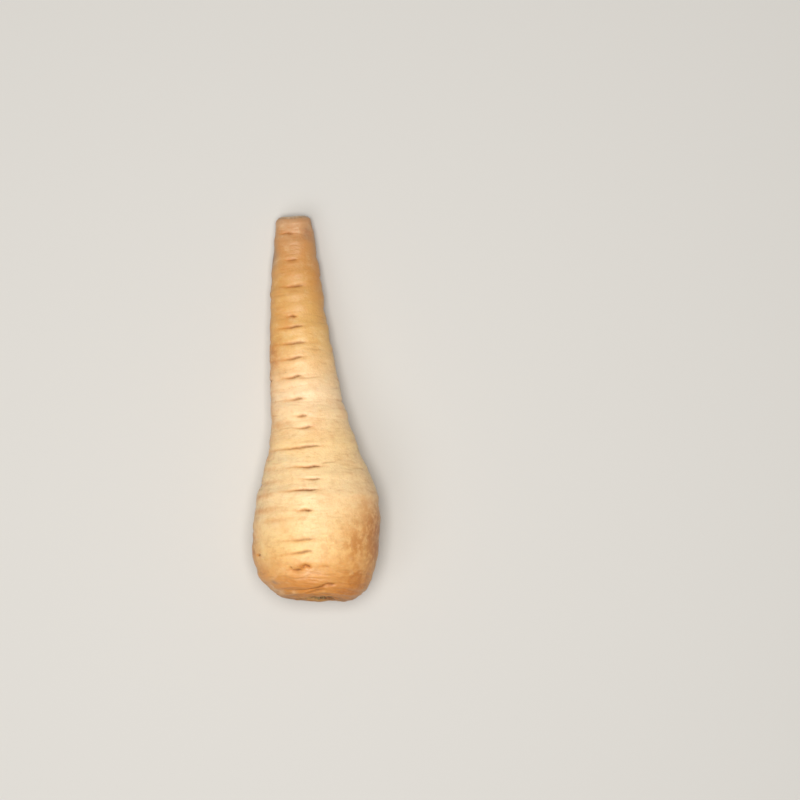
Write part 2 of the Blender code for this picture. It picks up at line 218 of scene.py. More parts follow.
class NodeKit:
    """A node tree that is being built, with short calls for the nodes that it needs."""

    def __init__(self, tree: Tree) -> None:
        """Keeps the tree."""
        self.tree = tree

    def add(self, kind: str, inputs: Optional[dict] = None, **settings: object) -> Node:
        """Adds a node.

        Args:
            kind: the node's type name.
            inputs: what each input is fed, by the input's name or number.
            settings: the node's own settings.

        Returns:
            The node.
        """
        node = self.tree.nodes.new(kind)
        for name, value in settings.items():
            setattr(node, name, value)
        self.fill(node, inputs or {})
        return node

    def made(self, kind: str, inputs: Optional[dict] = None, **settings: object) -> Socket:
        """The first output of a new node."""
        return self.add(kind, inputs, **settings).outputs[0]

    def feed(self, socket: Socket, value: Fed) -> None:
        """Links an output to a socket, or sets the socket's own value.

        Args:
            socket: the socket.
            value: the output or the value.
        """
        if isinstance(value, bpy.types.NodeSocket):
            self.tree.links.new(value, socket)
        else:
            socket.default_value = value

    def fill(self, node: Node, inputs: dict) -> None:
        """Feeds a node's inputs, by their names or numbers."""
        for key, value in inputs.items():
            self.feed(node.inputs[key], value)

    def placed(self, group: Tree, **inputs: Fed) -> bpy.types.bpy_prop_collection:
        """The outputs of a shared effect, placed with its own values."""
        return self.add("ShaderNodeGroup", inputs, node_tree=group).outputs

    def math(self, operation: str, a: Fed, b: Fed = 0.0, clamp: bool = False) -> Socket:
        """The output of a Math node."""
        return self.made("ShaderNodeMath", {0: a, 1: b}, operation=operation, use_clamp=clamp)

    def times(self, a: Fed, b: Fed) -> Socket:
        """One number times another."""
        return self.math("MULTIPLY", a, b)

    def plus(self, a: Fed, b: Fed, clamp: bool = False) -> Socket:
        """The sum of two numbers."""
        return self.math("ADD", a, b, clamp)

    def minus(self, a: Fed, b: Fed, clamp: bool = False) -> Socket:
        """The first number less the second."""
        return self.math("SUBTRACT", a, b, clamp)

    def vector(self, operation: str, a: Fed, b: Fed = (0.0, 0.0, 0.0)) -> Socket:
        """The vector output of a Vector Math node."""
        return self.made("ShaderNodeVectorMath", {0: a, 1: b}, operation=operation)

    def scaled(self, a: Fed, by: Fed) -> Socket:
        """A vector times a number."""
        return self.made("ShaderNodeVectorMath", {0: a, "Scale": by}, operation="SCALE")

    def joined(self, x: Fed = 0.0, y: Fed = 0.0, z: Fed = 0.0) -> Socket:
        """A vector of three numbers."""
        return self.made("ShaderNodeCombineXYZ", {0: x, 1: y, 2: z})

    def blend(self, factor: Fed, a: Fed, b: Fed) -> Socket:
        """The colour output of a Mix node."""
        return self.add("ShaderNodeMix", {0: factor, 6: a, 7: b}, data_type="RGBA").outputs[2]

    def laid(self, colour: Fed, tone: Fed, mask: Fed, share: float) -> Socket:
        """A tone laid over a colour where a mask is strong, up to a share."""
        return self.blend(self.times(mask, share), colour, tone)

    def span(self, value: Fed, low: float, high: float, to_low: float = 0.0, to_high: float = 1.0) -> Socket:
        """Maps a value smoothly from one span to another, and holds it inside."""
        inputs = {"Value": value, "From Min": low, "From Max": high, "To Min": to_low, "To Max": to_high}
        return self.made("ShaderNodeMapRange", inputs, interpolation_type="SMOOTHSTEP")

    def noise(self, vector: Fed, scale: Fed, detail: float = 2.0, **more: Fed) -> Socket:
        """The factor of a Noise Texture."""
        inputs = {"Vector": vector, "Scale": scale, "Detail": detail, **more}
        return self.add("ShaderNodeTexNoise", inputs).outputs["Fac"]

    def chance(self, low: Fed, high: Fed, seed: Fed) -> Socket:
        """A random number from low to high for each point."""
        inputs = {2: low, 3: high, 8: seed}
        return self.add("FunctionNodeRandomValue", inputs, data_type="FLOAT").outputs[1]

    def ramp(self, value: Fed, stops: Stops) -> Socket:
        """A colour that goes through the stops as the value rises.

        Args:
            value: the value, from 0 to 1.
            stops: the stops.

        Returns:
            The colour.
        """
        node = self.add("ShaderNodeValToRGB", {"Fac": value})
        elements = node.color_ramp.elements
        for number, (at, colour) in enumerate(stops):
            element = elements[number] if number < 2 else elements.new(at)
            element.position = at
            element.color = colour
        return node.outputs["Color"]

    def carried(self, mark: Mark) -> Socket:
        """What a mesh carries, in a material: the vector of WOUND, or else the number."""
        node = self.add("ShaderNodeAttribute", attribute_name=mark.value)
        return node.outputs["Vector" if mark is Mark.WOUND else "Fac"]

    def named(self, mark: Mark, kind: str = "FLOAT") -> Socket:
        """What a mesh carries, in Geometry Nodes."""
        node = self.add("GeometryNodeInputNamedAttribute", {"Name": mark.value}, data_type=kind)
        return node.outputs["Attribute"]

    def relief(self, *layers: tuple[Fed, float]) -> Socket:
        """The normal of some heights one over another, each with its depth in millimetres.

        Args:
            layers: each height with its depth.

        Returns:
            The normal.
        """
        normal = {}
        for height, depth in layers:
            inputs = {"Height": height, "Strength": 1.0, "Distance": depth * MM, **normal}
            normal = {"Normal": self.add("ShaderNodeBump", inputs).outputs["Normal"]}
        return normal["Normal"]

    def rough(self, tint: Fed, roughness: float) -> Socket:
        """A roughness that changes a little with the grain's tint."""
        return self.plus(self.times(tint, TINT_SHARE), roughness - TINT_SHARE / 2)


def new_group(name: str, kind: str, takes: dict, gives: dict) -> tuple[NodeKit, dict, Socket]:
    """Starts a node group with named inputs and outputs.

    Args:
        name: the group's name.
        kind: the type of its tree.
        takes: each input's socket type and first value, by the input's name.
        gives: each output's socket type, by the output's name.

    Returns:
        The group's tree, its inputs by name, and its output node's inputs.
    """
    kit = NodeKit(bpy.data.node_groups.new(name, kind))
    for label, (socket, *first) in takes.items():
        made = kit.tree.interface.new_socket(name=label, in_out="INPUT", socket_type=socket)
        if first:
            made.default_value = first[0]
    for label, socket in gives.items():
        kit.tree.interface.new_socket(name=label, in_out="OUTPUT", socket_type=socket)
    entry = kit.add("NodeGroupInput")
    return kit, {label: entry.outputs[label] for label in takes}, kit.add("NodeGroupOutput").inputs


@dataclass(frozen=True)
class Effects:
    """The effects that more than one material uses, each a shader node group."""

    streaks: Tree
    grain: Tree
    stain: Tree

    @classmethod
    def built(cls) -> "Effects":
        """Builds the groups once."""
        return cls(cls.streak_group(), cls.grain_group(), cls.stain_group())

    @staticmethod
    def streak_group() -> Tree:
        """Noise that is drawn out one way and wanders, as a value from 0 to 1.

        Returns:
            The group's tree.
        """
        takes = {
            "Place": (VECTOR,), "Round": (FLOAT, 0.1), "Along": (FLOAT, 1.0), "Contrast": (FLOAT, 1.0),
            "Wander": (FLOAT, 0.0),
        }
        kit, given, out = new_group("growth streaks", "ShaderNodeTree", takes, {"Value": FLOAT})
        drift = kit.add("ShaderNodeTexNoise", {"Vector": given["Place"], "Scale": 0.12, "Detail": 1.0})
        drift = kit.vector("SUBTRACT", drift.outputs["Color"], (0.5, 0.5, 0.5))
        place = kit.vector("ADD", given["Place"], kit.scaled(drift, given["Wander"]))
        place = kit.vector("MULTIPLY", place, kit.joined(given["Round"], given["Along"], given["Round"]))
        value = kit.noise(place, 1.0, 4.0, Roughness=0.6, Distortion=0.2)
        value = kit.times(kit.minus(value, 0.5), given["Contrast"])
        kit.feed(out["Value"], kit.plus(value, 0.5, clamp=True))
        return kit.tree

    @staticmethod
    def grain_group() -> Tree:
        """Fine cells and soft dents of plant tissue, as a height and a tint from 0 to 1.

        Returns:
            The group's tree.
        """
        takes = {"Place": (VECTOR,), "Scale": (FLOAT, 3.0)}
        kit, given, out = new_group("tissue grain", "ShaderNodeTree", takes, {"Height": FLOAT, "Tint": FLOAT})
        cells = kit.add("ShaderNodeTexVoronoi", {"Vector": given["Place"], "Scale": given["Scale"]})
        soft = kit.noise(given["Place"], kit.times(given["Scale"], 0.4), 3.0)
        height = kit.times(kit.minus(1.0, cells.outputs["Distance"]), 0.45)
        kit.feed(out["Height"], kit.plus(height, kit.times(soft, 0.55)))
        kit.feed(out["Tint"], soft)
        return kit.tree

    @staticmethod
    def stain_group() -> Tree:
        """A patchy mask that fills where it is told to as the amount rises.

        Returns:
            The group's tree.
        """
        takes = {"Place": (VECTOR,), "Where": (FLOAT, 0.0), "Scale": (FLOAT, 0.6), "Softness": (FLOAT, 0.25)}
        kit, given, out = new_group("patchy stain", "ShaderNodeTree", takes, {"Mask": FLOAT})
        patches = kit.noise(given["Place"], given["Scale"], 4.0, Roughness=0.62)
        level = kit.minus(kit.plus(patches, given["Where"]), 1.0)
        level = kit.math("DIVIDE", level, given["Softness"])
        kit.feed(out["Mask"], kit.plus(level, 0.5, clamp=True))
        return kit.tree


def new_material(name: str, seen: Colour) -> tuple[Material, NodeKit, Node]:
    """Starts a material.

    Args:
        name: the material's name.
        seen: its plain colour in the viewport.

    Returns:
        The material, its tree and its Principled BSDF.
    """
    material = bpy.data.materials.new(name)
    material.use_nodes = True
    material.diffuse_color = seen
    return material, NodeKit(material.node_tree), material.node_tree.nodes["Principled BSDF"]


@dataclass(frozen=True)
class Mottle:
    """Soft patches of noise, shown from a level of it to another and up to a share."""

    scale: float
    detail: float
    low: float
    high: float
    share: float = 1.0
    least: float = 0.0

    def mask(self, kit: NodeKit, place: Socket) -> Socket:
        """How strongly the patches show."""
        noise = kit.noise(place, self.scale, self.detail)
        return kit.span(noise, self.low, self.high, self.least, self.share)


@dataclass(frozen=True)
class Specks:
    """Small spots here and there, with uneven edges: cells to a millimetre across the root and
    along it, how far a spot reaches in cells, and how strong the spots are."""

    across: float
    along: float
    reach: float
    strength: float
    wobble: float = 0.5
    chosen: tuple = (0.58, 0.64)
    core: float = 0.25

    def mask(self, kit: NodeKit, place: Socket) -> Socket:
        """How strongly the spots show.

        Args:
            kit: the material's tree.
            place: where on the skin.

        Returns:
            The mask, from 0 to 1.
        """
        edge = kit.add("ShaderNodeTexNoise", {"Vector": place, "Scale": 2.0 * self.across, "Detail": 2.0})
        stretched = kit.vector("MULTIPLY", place, (self.across, self.along, self.across))
        place = kit.vector("ADD", stretched, kit.scaled(edge.outputs["Color"], self.wobble))
        cells = kit.add("ShaderNodeTexVoronoi", {"Vector": place, "Scale": 1.0, "Randomness": 1.0})
        chosen = kit.span(cells.outputs["Color"], *self.chosen)
        near = kit.span(cells.outputs["Distance"], self.reach, self.core * self.reach)
        return kit.times(kit.times(near, chosen), self.strength)


@dataclass(frozen=True)
class SkinFinish:
    """The thin pale skin of the root: cream in the middle, tan at the ends, brown in its slits, with painted
    shade in ochre and russet along its sides.
    """

    effects: Effects
    along: Stops = tones(
        (0.000, 188, 126, 60), (0.050, 226, 167, 96), (0.110, 247, 206, 138), (0.260, 252, 220, 168),
        (0.400, 250, 213, 154), (0.520, 250, 217, 172), (0.600, 244, 202, 144), (0.665, 231, 184, 112),
        (0.740, 222, 173, 102), (0.830, 211, 160, 94), (0.920, 202, 150, 97), (0.975, 206, 157, 112),
    )
    # Ochre is a warm tone of the skin in its mottling and brown spots, and painted shade in the broad patches
    # along the sides; russet is laid where those patches are strongest.
    ochre: Colour = paint(212, 133, 50)
    russet_and_shade: Colour = paint(168, 98, 38)
    cream: Colour = paint(252, 228, 184)
    tan: Colour = paint(206, 144, 82)
    blush: Colour = paint(222, 152, 108)
    halo: Colour = paint(204, 124, 34)
    line: Colour = paint(182, 118, 58)
    slit: Colour = paint(138, 80, 26)
    olive: Colour = paint(198, 160, 98)
    bark: Colour = paint(164, 110, 60)
    # Earth in the crown's hollow, and the colour of painted shade on part of the hollow's wall.
    earth: Colour = paint(108, 66, 28)
    grey: Colour = paint(128, 116, 112)
    speck: Colour = paint(136, 84, 40)
    warm: Mottle = Mottle(0.085, 4.0, 0.48, 0.76, 0.34)
    ochre_and_shade_mottle: Mottle = Mottle(0.5, 4.0, 0.32, 0.6, 0.95, 0.55)
    blushing: Mottle = Mottle(0.21, 3.0, 0.55, 0.78, 0.12)
    flakes: Mottle = Mottle(1.5, 4.0, 0.48, 0.66)
    broken: Mottle = Mottle(1.3, 3.0, 0.25, 0.6, 1.0, 0.6)
    wall_patches: Mottle = Mottle(0.4, 3.0, 0.38, 0.60, 0.55, 0.10)
    clods: Mottle = Mottle(0.8, 4.0, 0.40, 0.62, 0.55)
    pores: Specks = Specks(0.60, 0.85, 0.13, 0.6)
    blotches: Specks = Specks(0.13, 0.19, 0.22, 0.28)
    freckles: Specks = Specks(0.17, 0.34, 0.08, 0.45)
    marked: tuple = (
        (Mark.HALO, 0.72, halo), (Mark.WRINKLE, 0.17, line), (Mark.CREASE, 0.36, line),
        (Mark.BRUISE, 0.6, grey),
    )
    roughness: float = 0.48
    worn_roughness: float = 0.15
    subsurface: float = 0.18

    def material(self) -> Material:
        """Builds the material, on the places and marks that the skin's mesh carries.

        Returns:
            The material.
        """
        material, kit, shader = new_material("root skin", self.along[4][1])
        place, crown, scar = (kit.carried(mark) for mark in (Mark.WOUND, Mark.CROWN, Mark.SCAR))
        grain = kit.placed(self.effects.grain, Place=place, Scale=2.6)
        fine = {"Round": 0.55, "Along": 1.9, "Contrast": 1.7, "Wander": 7.0}
        lines = kit.placed(self.effects.streaks, Place=place, **fine)[0]
        dents = kit.noise(place, 0.9, 4.0, Roughness=0.58)
        pores = self.pores.mask(kit, place)
        corky = kit.placed(self.effects.stain, Place=place, Where=crown, Scale=0.45, Softness=0.5)[0]
        flaky = kit.times(kit.span(crown, 0.1, 0.5), self.flakes.mask(kit, place))
        worn = kit.times(kit.plus(corky, scar), self.worn_roughness)
        rough_skin = kit.noise(place, 1.9, 5.0, Roughness=0.62)
        rough_skin = kit.times(rough_skin, kit.span(crown, 0.0, 0.5, 0.35, 1.0))

        colour = self.grown_colour(kit, place, lines, dents)
        colour = kit.laid(colour, self.line, pores, 0.45)
        colour = self.marked_colour(kit, place, colour)
        colour = kit.laid(colour, self.bark, corky, 0.8)
        colour = kit.laid(colour, self.tan, flaky, 0.4)
        colour = self.crown_colour(kit, place, crown, colour)
        kit.fill(shader, {
            "Base Color": kit.blend(kit.times(scar, self.broken.mask(kit, place)), colour, self.slit),
            "Roughness": kit.plus(kit.rough(grain["Tint"], self.roughness), worn),
            "Normal": kit.relief(
                (grain["Height"], 0.045), (lines, 0.03), (dents, 0.12), (rough_skin, 0.16), (pores, -0.05)
            ),
            "Subsurface Weight": self.subsurface,
            "Subsurface Radius": (1.0, 0.55, 0.3),
            "Subsurface Scale": 1.6 * MM,
        })
        return material

    def grown_colour(self, kit: NodeKit, place: Socket, lines: Socket, dents: Socket) -> Socket:
        """The colour that the skin has grown: its run from end to end, patches, mottling and lines; the broad
        ochre and russet patches along its sides are painted shade.

        Args:
            kit: the material's tree.
            place: where on the skin.
            lines: fine streaks round the root.
            dents: small soft dents.

        Returns:
            The colour.
        """
        along = kit.carried(Mark.ALONG)
        ends = kit.math("MAXIMUM", kit.span(along, 0.24, 0.04), kit.span(along, 0.72, 0.95))
        ends = kit.plus(kit.times(ends, 0.5), 0.5)
        broad = {"Round": 0.06, "Along": 0.15, "Contrast": 1.9, "Wander": 12.0}
        bands = kit.placed(self.effects.streaks, Place=place, **broad)[0]
        mottle = kit.noise(place, 0.36, 5.0, Roughness=0.64)
        # The small patches are brown spots; the broad ones along both sides are painted shade.
        patchy = kit.times(kit.carried(Mark.OCHRE), self.ochre_and_shade_mottle.mask(kit, place))

        colour = kit.ramp(along, self.along)
        for mask, tone in (
            (self.warm.mask(kit, place), self.ochre),
            (kit.span(bands, 0.52, 0.95, 0.0, 0.30), self.cream),
            (patchy, self.ochre),
            (kit.span(patchy, 0.35, 1.0, 0.0, 0.5), self.russet_and_shade),
            (self.blushing.mask(kit, place), self.blush),
            (kit.times(kit.span(mottle, 0.52, 0.30, 0.0, 0.46), ends), self.tan),
            (kit.span(mottle, 0.53, 0.75, 0.0, 0.20), self.cream),
            (kit.times(kit.span(dents, 0.47, 0.28, 0.0, 0.36), ends), self.tan),
            (kit.span(lines, 0.5, 0.0, 0.0, 0.10), self.tan),
            (kit.span(lines, 0.6, 1.0, 0.0, 0.12), self.cream),
        ):
            colour = kit.blend(mask, colour, tone)
        return colour

    def marked_colour(self, kit: NodeKit, place: Socket, colour: Socket) -> Socket:
        """The colour with the marks on the skin: slits, creases, grey spots and specks.

        Args:
            kit: the material's tree.
            place: where on the skin.
            colour: the colour so far.

        Returns:
            The colour.
        """
        for mark, share, tone in self.marked:
            colour = kit.laid(colour, tone, kit.carried(mark), share)
        colour = kit.blend(self.blotches.mask(kit, place), colour, self.tan)
        return kit.blend(self.freckles.mask(kit, place), colour, self.speck)

    def crown_colour(self, kit: NodeKit, place: Socket, crown: Socket, colour: Socket) -> Socket:
        """The colour with the olive wall of the crown's hollow, the earth at its foot, and painted shade in
        the earth's colour on part of the wall.

        Args:
            kit: the material's tree.
            place: where on the skin.
            crown: how far into the crown, from 0 to 1.
            colour: the colour so far.

        Returns:
            The colour.
        """
        wall = kit.times(kit.span(crown, 0.55, 0.63), kit.span(crown, 0.96, 0.80))
        colour = kit.blend(kit.times(wall, self.wall_patches.mask(kit, place)), colour, self.olive)
        # Earth deep in the hollow, and painted shade where the hollow's shade band raises the crown mark.
        deep = kit.times(kit.math("POWER", crown, 3.0), 0.58)
        earth_and_shade = kit.placed(self.effects.stain, Place=place, Where=deep, Scale=1.1, Softness=0.4)[0]
        earth = kit.blend(self.clods.mask(kit, place), self.earth, self.bark)
        return kit.laid(colour, earth, earth_and_shade, 0.85)


@dataclass(frozen=True)
class FleshFinish:
    """The cut flesh at the tip: a cream ring, a thin darker growth ring and a paler core, with a tan rim and
    dry patches that are partly painted shade.
    """

    effects: Effects
    # From 0.6 outwards the flesh turns tan towards the skin, partly as painted shade.
    across: Stops = tones(
        (0.00, 246, 222, 184), (0.24, 252, 232, 198), (0.33, 248, 224, 186), (0.38, 228, 194, 148),
        (0.44, 252, 230, 194), (0.60, 244, 216, 174), (0.76, 214, 174, 128), (0.92, 196, 150, 104),
        (1.00, 158, 110, 68),
    )
    ray: Colour = paint(252, 236, 206)
    dried_and_shaded: Colour = paint(204, 166, 122)
    ray_count: int = 9
    roughness: float = 0.42
    subsurface: float = 0.25

    def material(self) -> Material:
        """Builds the material, whose rings follow how far a point is from the middle of the cut.

        Returns:
            The material.
        """
        material, kit, shader = new_material("cut flesh", self.across[1][1])
        place = kit.carried(Mark.WOUND)
        wander = kit.times(kit.minus(kit.noise(place, 0.4, 3.0), 0.5), 0.2)
        colour = kit.ramp(kit.plus(kit.minus(2.0, kit.carried(Mark.CUT)), wander), self.across)
        spun = kit.vector("NORMALIZE", kit.vector("MULTIPLY", place, (1, 0, 1)))
        spun = kit.vector("MULTIPLY", spun, (self.ray_count, 0, self.ray_count))
        rays = kit.span(kit.noise(spun, 1.0, 3.0, Distortion=0.6), 0.5, 0.7, 0.0, 0.5)
        colour = kit.blend(rays, colour, self.ray)
        # Patches of dried flesh, darkened further as painted shade.
        dry = kit.placed(self.effects.stain, Place=place, Where=0.48, Scale=0.7, Softness=0.3)[0]
        grain = kit.placed(self.effects.grain, Place=place, Scale=4.0)
        kit.fill(shader, {
            "Base Color": kit.laid(colour, self.dried_and_shaded, dry, 0.65),
            "Roughness": kit.rough(grain["Tint"], self.roughness),
            "Normal": kit.relief((grain["Height"], 0.06)),
            "Subsurface Weight": self.subsurface,
            "Subsurface Radius": (1.0, 0.7, 0.4),
            "Subsurface Scale": 1.5 * MM,
        })
        return material


@dataclass(frozen=True)
class StalkFinish:
    """The stubs of the leaf stalks: olive straw with fine ribs, browned and dry where cut."""

    effects: Effects
    foot: Colour = paint(176, 148, 86)
    body: Colour = paint(188, 164, 98)
    top: Colour = paint(150, 112, 62)
    withered: Colour = paint(142, 104, 62)
    edge: Colour = paint(126, 88, 48)
    dry: Colour = paint(178, 138, 86)
    pith: Colour = paint(220, 198, 136)
    stain: Colour = paint(98, 66, 38)
    roughness: float = 0.65

    def material(self) -> Material:
        """Builds the material, on the heights and cut faces that the stubs' mesh carries.

        Returns:
            The material.
        """
        material, kit, shader = new_material("leaf stalk", self.body)
        place, height, cut = kit.carried(Mark.WOUND), kit.carried(Mark.HEIGHT), kit.carried(Mark.CUT)
        colour = kit.ramp(height, ((0.0, self.stain), (0.3, self.foot), (0.7, self.body), (1.0, self.top)))
        age = kit.minus(1.0, kit.carried(Mark.ALONG), clamp=True)
        pith = kit.blend(age, self.pith, self.dry)
        ribs = kit.placed(self.effects.streaks, Place=place, Round=4.0, Along=0.5, Contrast=1.8)[0]
        darkened = kit.placed(self.effects.stain, Place=place, Where=0.44, Scale=0.9, Softness=0.3)[0]
        grain = kit.placed(self.effects.grain, Place=place, Scale=5.0)
        colour = kit.laid(colour, self.withered, age, 0.7)
        colour = kit.blend(kit.span(ribs, 0.3, 0.8, 0.0, 0.35), colour, pith)
        colour = kit.blend(kit.span(cut, 0.0, 0.4, 0.0, 0.8), colour, self.edge)
        colour = kit.blend(kit.span(cut, 0.4, 1.0, 0.0, 0.9), colour, pith)
        kit.fill(shader, {
            "Base Color": kit.laid(colour, self.stain, darkened, 0.8),
            "Roughness": kit.rough(grain["Tint"], self.roughness),
            "Normal": kit.relief((grain["Height"], 0.06), (ribs, 0.12)),
        })
        return material


@dataclass(frozen=True)
class DryFinish:
    """Dry matter in patches of two tones: fibres, strands of sap or crumbs of earth."""

    name: str
    dark: Colour
    pale: Colour
    scale: float = 0.8
    detail: float = 3.0
    roughness: float = 0.72
    depth: float = 0.0

    def material(self) -> Material:
        """Builds the material.

        Returns:
            The material.
        """
        material, kit, shader = new_material(self.name, self.pale)
        here = kit.scaled(kit.add("ShaderNodeTexCoord").outputs["Object"], 1 / MM)
        patches = kit.noise(here, self.scale, self.detail)
        colour = kit.blend(kit.span(patches, 0.35, 0.65), self.dark, self.pale)
        kit.fill(shader, {"Base Color": colour, "Roughness": self.roughness})
        if self.depth:
            kit.fill(shader, {"Normal": kit.relief((patches, self.depth))})
        return material


DRY_ROOT = DryFinish("dry rootlet", paint(128, 84, 44), paint(206, 160, 102))
DRY_LEAF = DryFinish("dry leaf fibre", paint(96, 64, 34), paint(176, 134, 82))
SAP = DryFinish("sap strand", paint(132, 94, 52), paint(190, 152, 98))
DRY_EARTH = DryFinish("dry earth", paint(84, 58, 36), paint(140, 104, 68), 2.2, 4.0, 0.95, 0.1)


def settled(obj: Piece, tree: Tree, values: dict[str, object]) -> None:
    """Runs a Geometry Nodes tree on an object and keeps its result as a plain mesh.

    Args:
        obj: the object that the tree starts from.
        tree: the tree.
        values: what its inputs are set to, by their names.
    """
    modifier = obj.modifiers.new(tree.name, "NODES")
    modifier.node_group = tree
    sockets = {item.name: item.identifier for item in tree.interface.items_tree if item.in_out == "INPUT"}
    for label, value in values.items():
        modifier[sockets[label]] = value
    graph = bpy.context.evaluated_depsgraph_get()
    evaluated = obj.evaluated_get(graph)
    made = bpy.data.meshes.new_from_object(evaluated, preserve_all_data_layers=True, depsgraph=graph)
    obj.modifiers.remove(modifier)
    made.name = obj.name
    obj.data = made


def dressed(kit: NodeKit, geometry: Socket, material: Socket) -> Socket:
    """Makes the instances of a shape real and gives it a material."""
    whole = kit.made("GeometryNodeRealizeInstances", {"Geometry": geometry})
    return kit.made("GeometryNodeSetMaterial", {"Geometry": whole, "Material": material})


def wrinkle_tree() -> Tree:
    """Presses fine wrinkles into a skin, all running round the root, and gives its faces their
    materials.

    Returns:
        The Geometry Nodes tree.
    """
    takes = {
        "Geometry": (SHAPE,), "Height": (FLOAT, 0.05 * MM), "Spacing": (FLOAT, 1.5), "Stretch": (FLOAT, 4.5),
        "Sharpness": (FLOAT, 5.0), "Patches": (FLOAT, 9.0), "Seed": (FLOAT, 0.0), "Skin": (MATERIAL,),
        "Flesh": (MATERIAL,), "Cut": (FLOAT, 0.75),
    }
    kit, given, out = new_group("fine wrinkles", "GeometryNodeTree", takes, {"Geometry": SHAPE})
    place = kit.named(Mark.WOUND, "FLOAT_VECTOR")
    across = kit.math("DIVIDE", 1.0, given["Spacing"])
    around = kit.math("DIVIDE", across, given["Stretch"])
    drawn = kit.vector("MULTIPLY", place, kit.joined(around, across, around))
    inputs = {"Vector": drawn, "W": given["Seed"], "Scale": 1.0, "Detail": 2.0, "Distortion": 0.7}
    level = kit.made("ShaderNodeTexNoise", inputs, noise_dimensions="4D")
    from_middle = kit.math("ABSOLUTE", kit.minus(kit.times(level, 2.0), 1.0))
    ridge = kit.math("POWER", kit.minus(1.0, from_middle, clamp=True), kit.times(given["Sharpness"], 3.0))
    cover = kit.span(kit.noise(place, kit.math("DIVIDE", 1.0, given["Patches"])), 0.36, 0.60, 0.15, 1.0)
    ridge = kit.times(ridge, kit.times(kit.named(Mark.SKIN), cover))
    ridge = kit.times(ridge, kit.span(kit.named(Mark.CROWN), 0.0, 0.4, 1.0, 2.2))
    inputs = {"Geometry": given["Geometry"], "Name": Mark.WRINKLE.value, "Value": ridge}
    stored = kit.made("GeometryNodeStoreNamedAttribute", inputs, data_type="FLOAT", domain="POINT")
    sunk = kit.times(kit.times(kit.named(Mark.WRINKLE), given["Height"]), -1.0)
    offset = kit.scaled(kit.made("GeometryNodeInputNormal"), sunk)
    pressed = kit.made("GeometryNodeSetPosition", {"Geometry": stored, "Offset": offset})
    inputs = {
        "Geometry": dressed(kit, pressed, given["Skin"]), "Material": given["Flesh"],
        "Selection": kit.math("GREATER_THAN", kit.named(Mark.CUT), given["Cut"]),
    }
    kit.feed(out["Geometry"], kit.made("GeometryNodeSetMaterial", inputs))
    return kit.tree


def stub_tree() -> Tree:
    """Grows a thin tapered stub out of each point, along what the point faces and then bending to
    where it lies. Rootlets, broken side roots, leaf fibres and leaf strands are all made by it.

    Returns:
        The Geometry Nodes tree.
    """
    takes = {
        "Geometry": (SHAPE,), "Length": (FLOAT, 1 * MM), "Radius": (FLOAT, 0.1 * MM), "Bend": (FLOAT, 0.5),
        "Taper": (FLOAT, 0.3), "Sides": (WHOLE, 5), "Steps": (WHOLE, 5), "Spread": (FLOAT, 0.6),
        "Change": (FLOAT, 0.3), "Seed": (WHOLE, SEED), "Material": (MATERIAL,),
    }
    kit, given, out = new_group("grown stubs", "GeometryNodeTree", takes, {"Geometry": SHAPE})
    bend, length, change, seed = (given[label] for label in ("Bend", "Length", "Change", "Seed"))
    rise = kit.times(length, kit.minus(1.0, kit.times(bend, 0.7)))
    line = kit.made("GeometryNodeCurveQuadraticBezier", {
        "Resolution": given["Steps"], "Start": (0.0, 0.0, 0.0),
        "Middle": kit.joined(z=kit.times(length, 0.5)), "End": kit.joined(x=kit.times(length, bend), z=rise),
    })
    along = kit.add("GeometryNodeSplineParameter").outputs["Factor"]
    thin = kit.times(along, kit.minus(1.0, given["Taper"]))
    radius = kit.times(given["Radius"], kit.minus(1.0, thin))
    circle = kit.made("GeometryNodeCurvePrimitiveCircle", {"Resolution": given["Sides"], "Radius": 1.0})
    tube = {"Curve": line, "Profile Curve": circle, "Scale": radius, "Fill Caps": True}
    axes = {0: kit.named(Mark.FACING, "FLOAT_VECTOR"), 1: kit.named(Mark.LYING, "FLOAT_VECTOR")}
    facing = kit.made("FunctionNodeAxesToRotation", axes, primary_axis="Z", secondary_axis="X")
    angle = kit.chance(kit.times(given["Spread"], -1.0), given["Spread"], seed)
    spin = kit.made("FunctionNodeAxisAngleToRotation", {"Axis": (0.0, 0.0, 1.0), "Angle": angle})
    size = kit.chance(kit.minus(1.0, change), kit.plus(1.0, change), kit.plus(seed, 1.0))
    grown = kit.made("GeometryNodeInstanceOnPoints", {
        "Points": given["Geometry"], "Instance": kit.made("GeometryNodeCurveToMesh", tube),
        "Rotation": kit.made("FunctionNodeRotateRotation", {0: facing, 1: spin}, rotation_space="LOCAL"),
        "Scale": kit.times(size, kit.named(Mark.SIZE)),
    })
    kit.feed(out["Geometry"], dressed(kit, grown, given["Material"]))
    return kit.tree


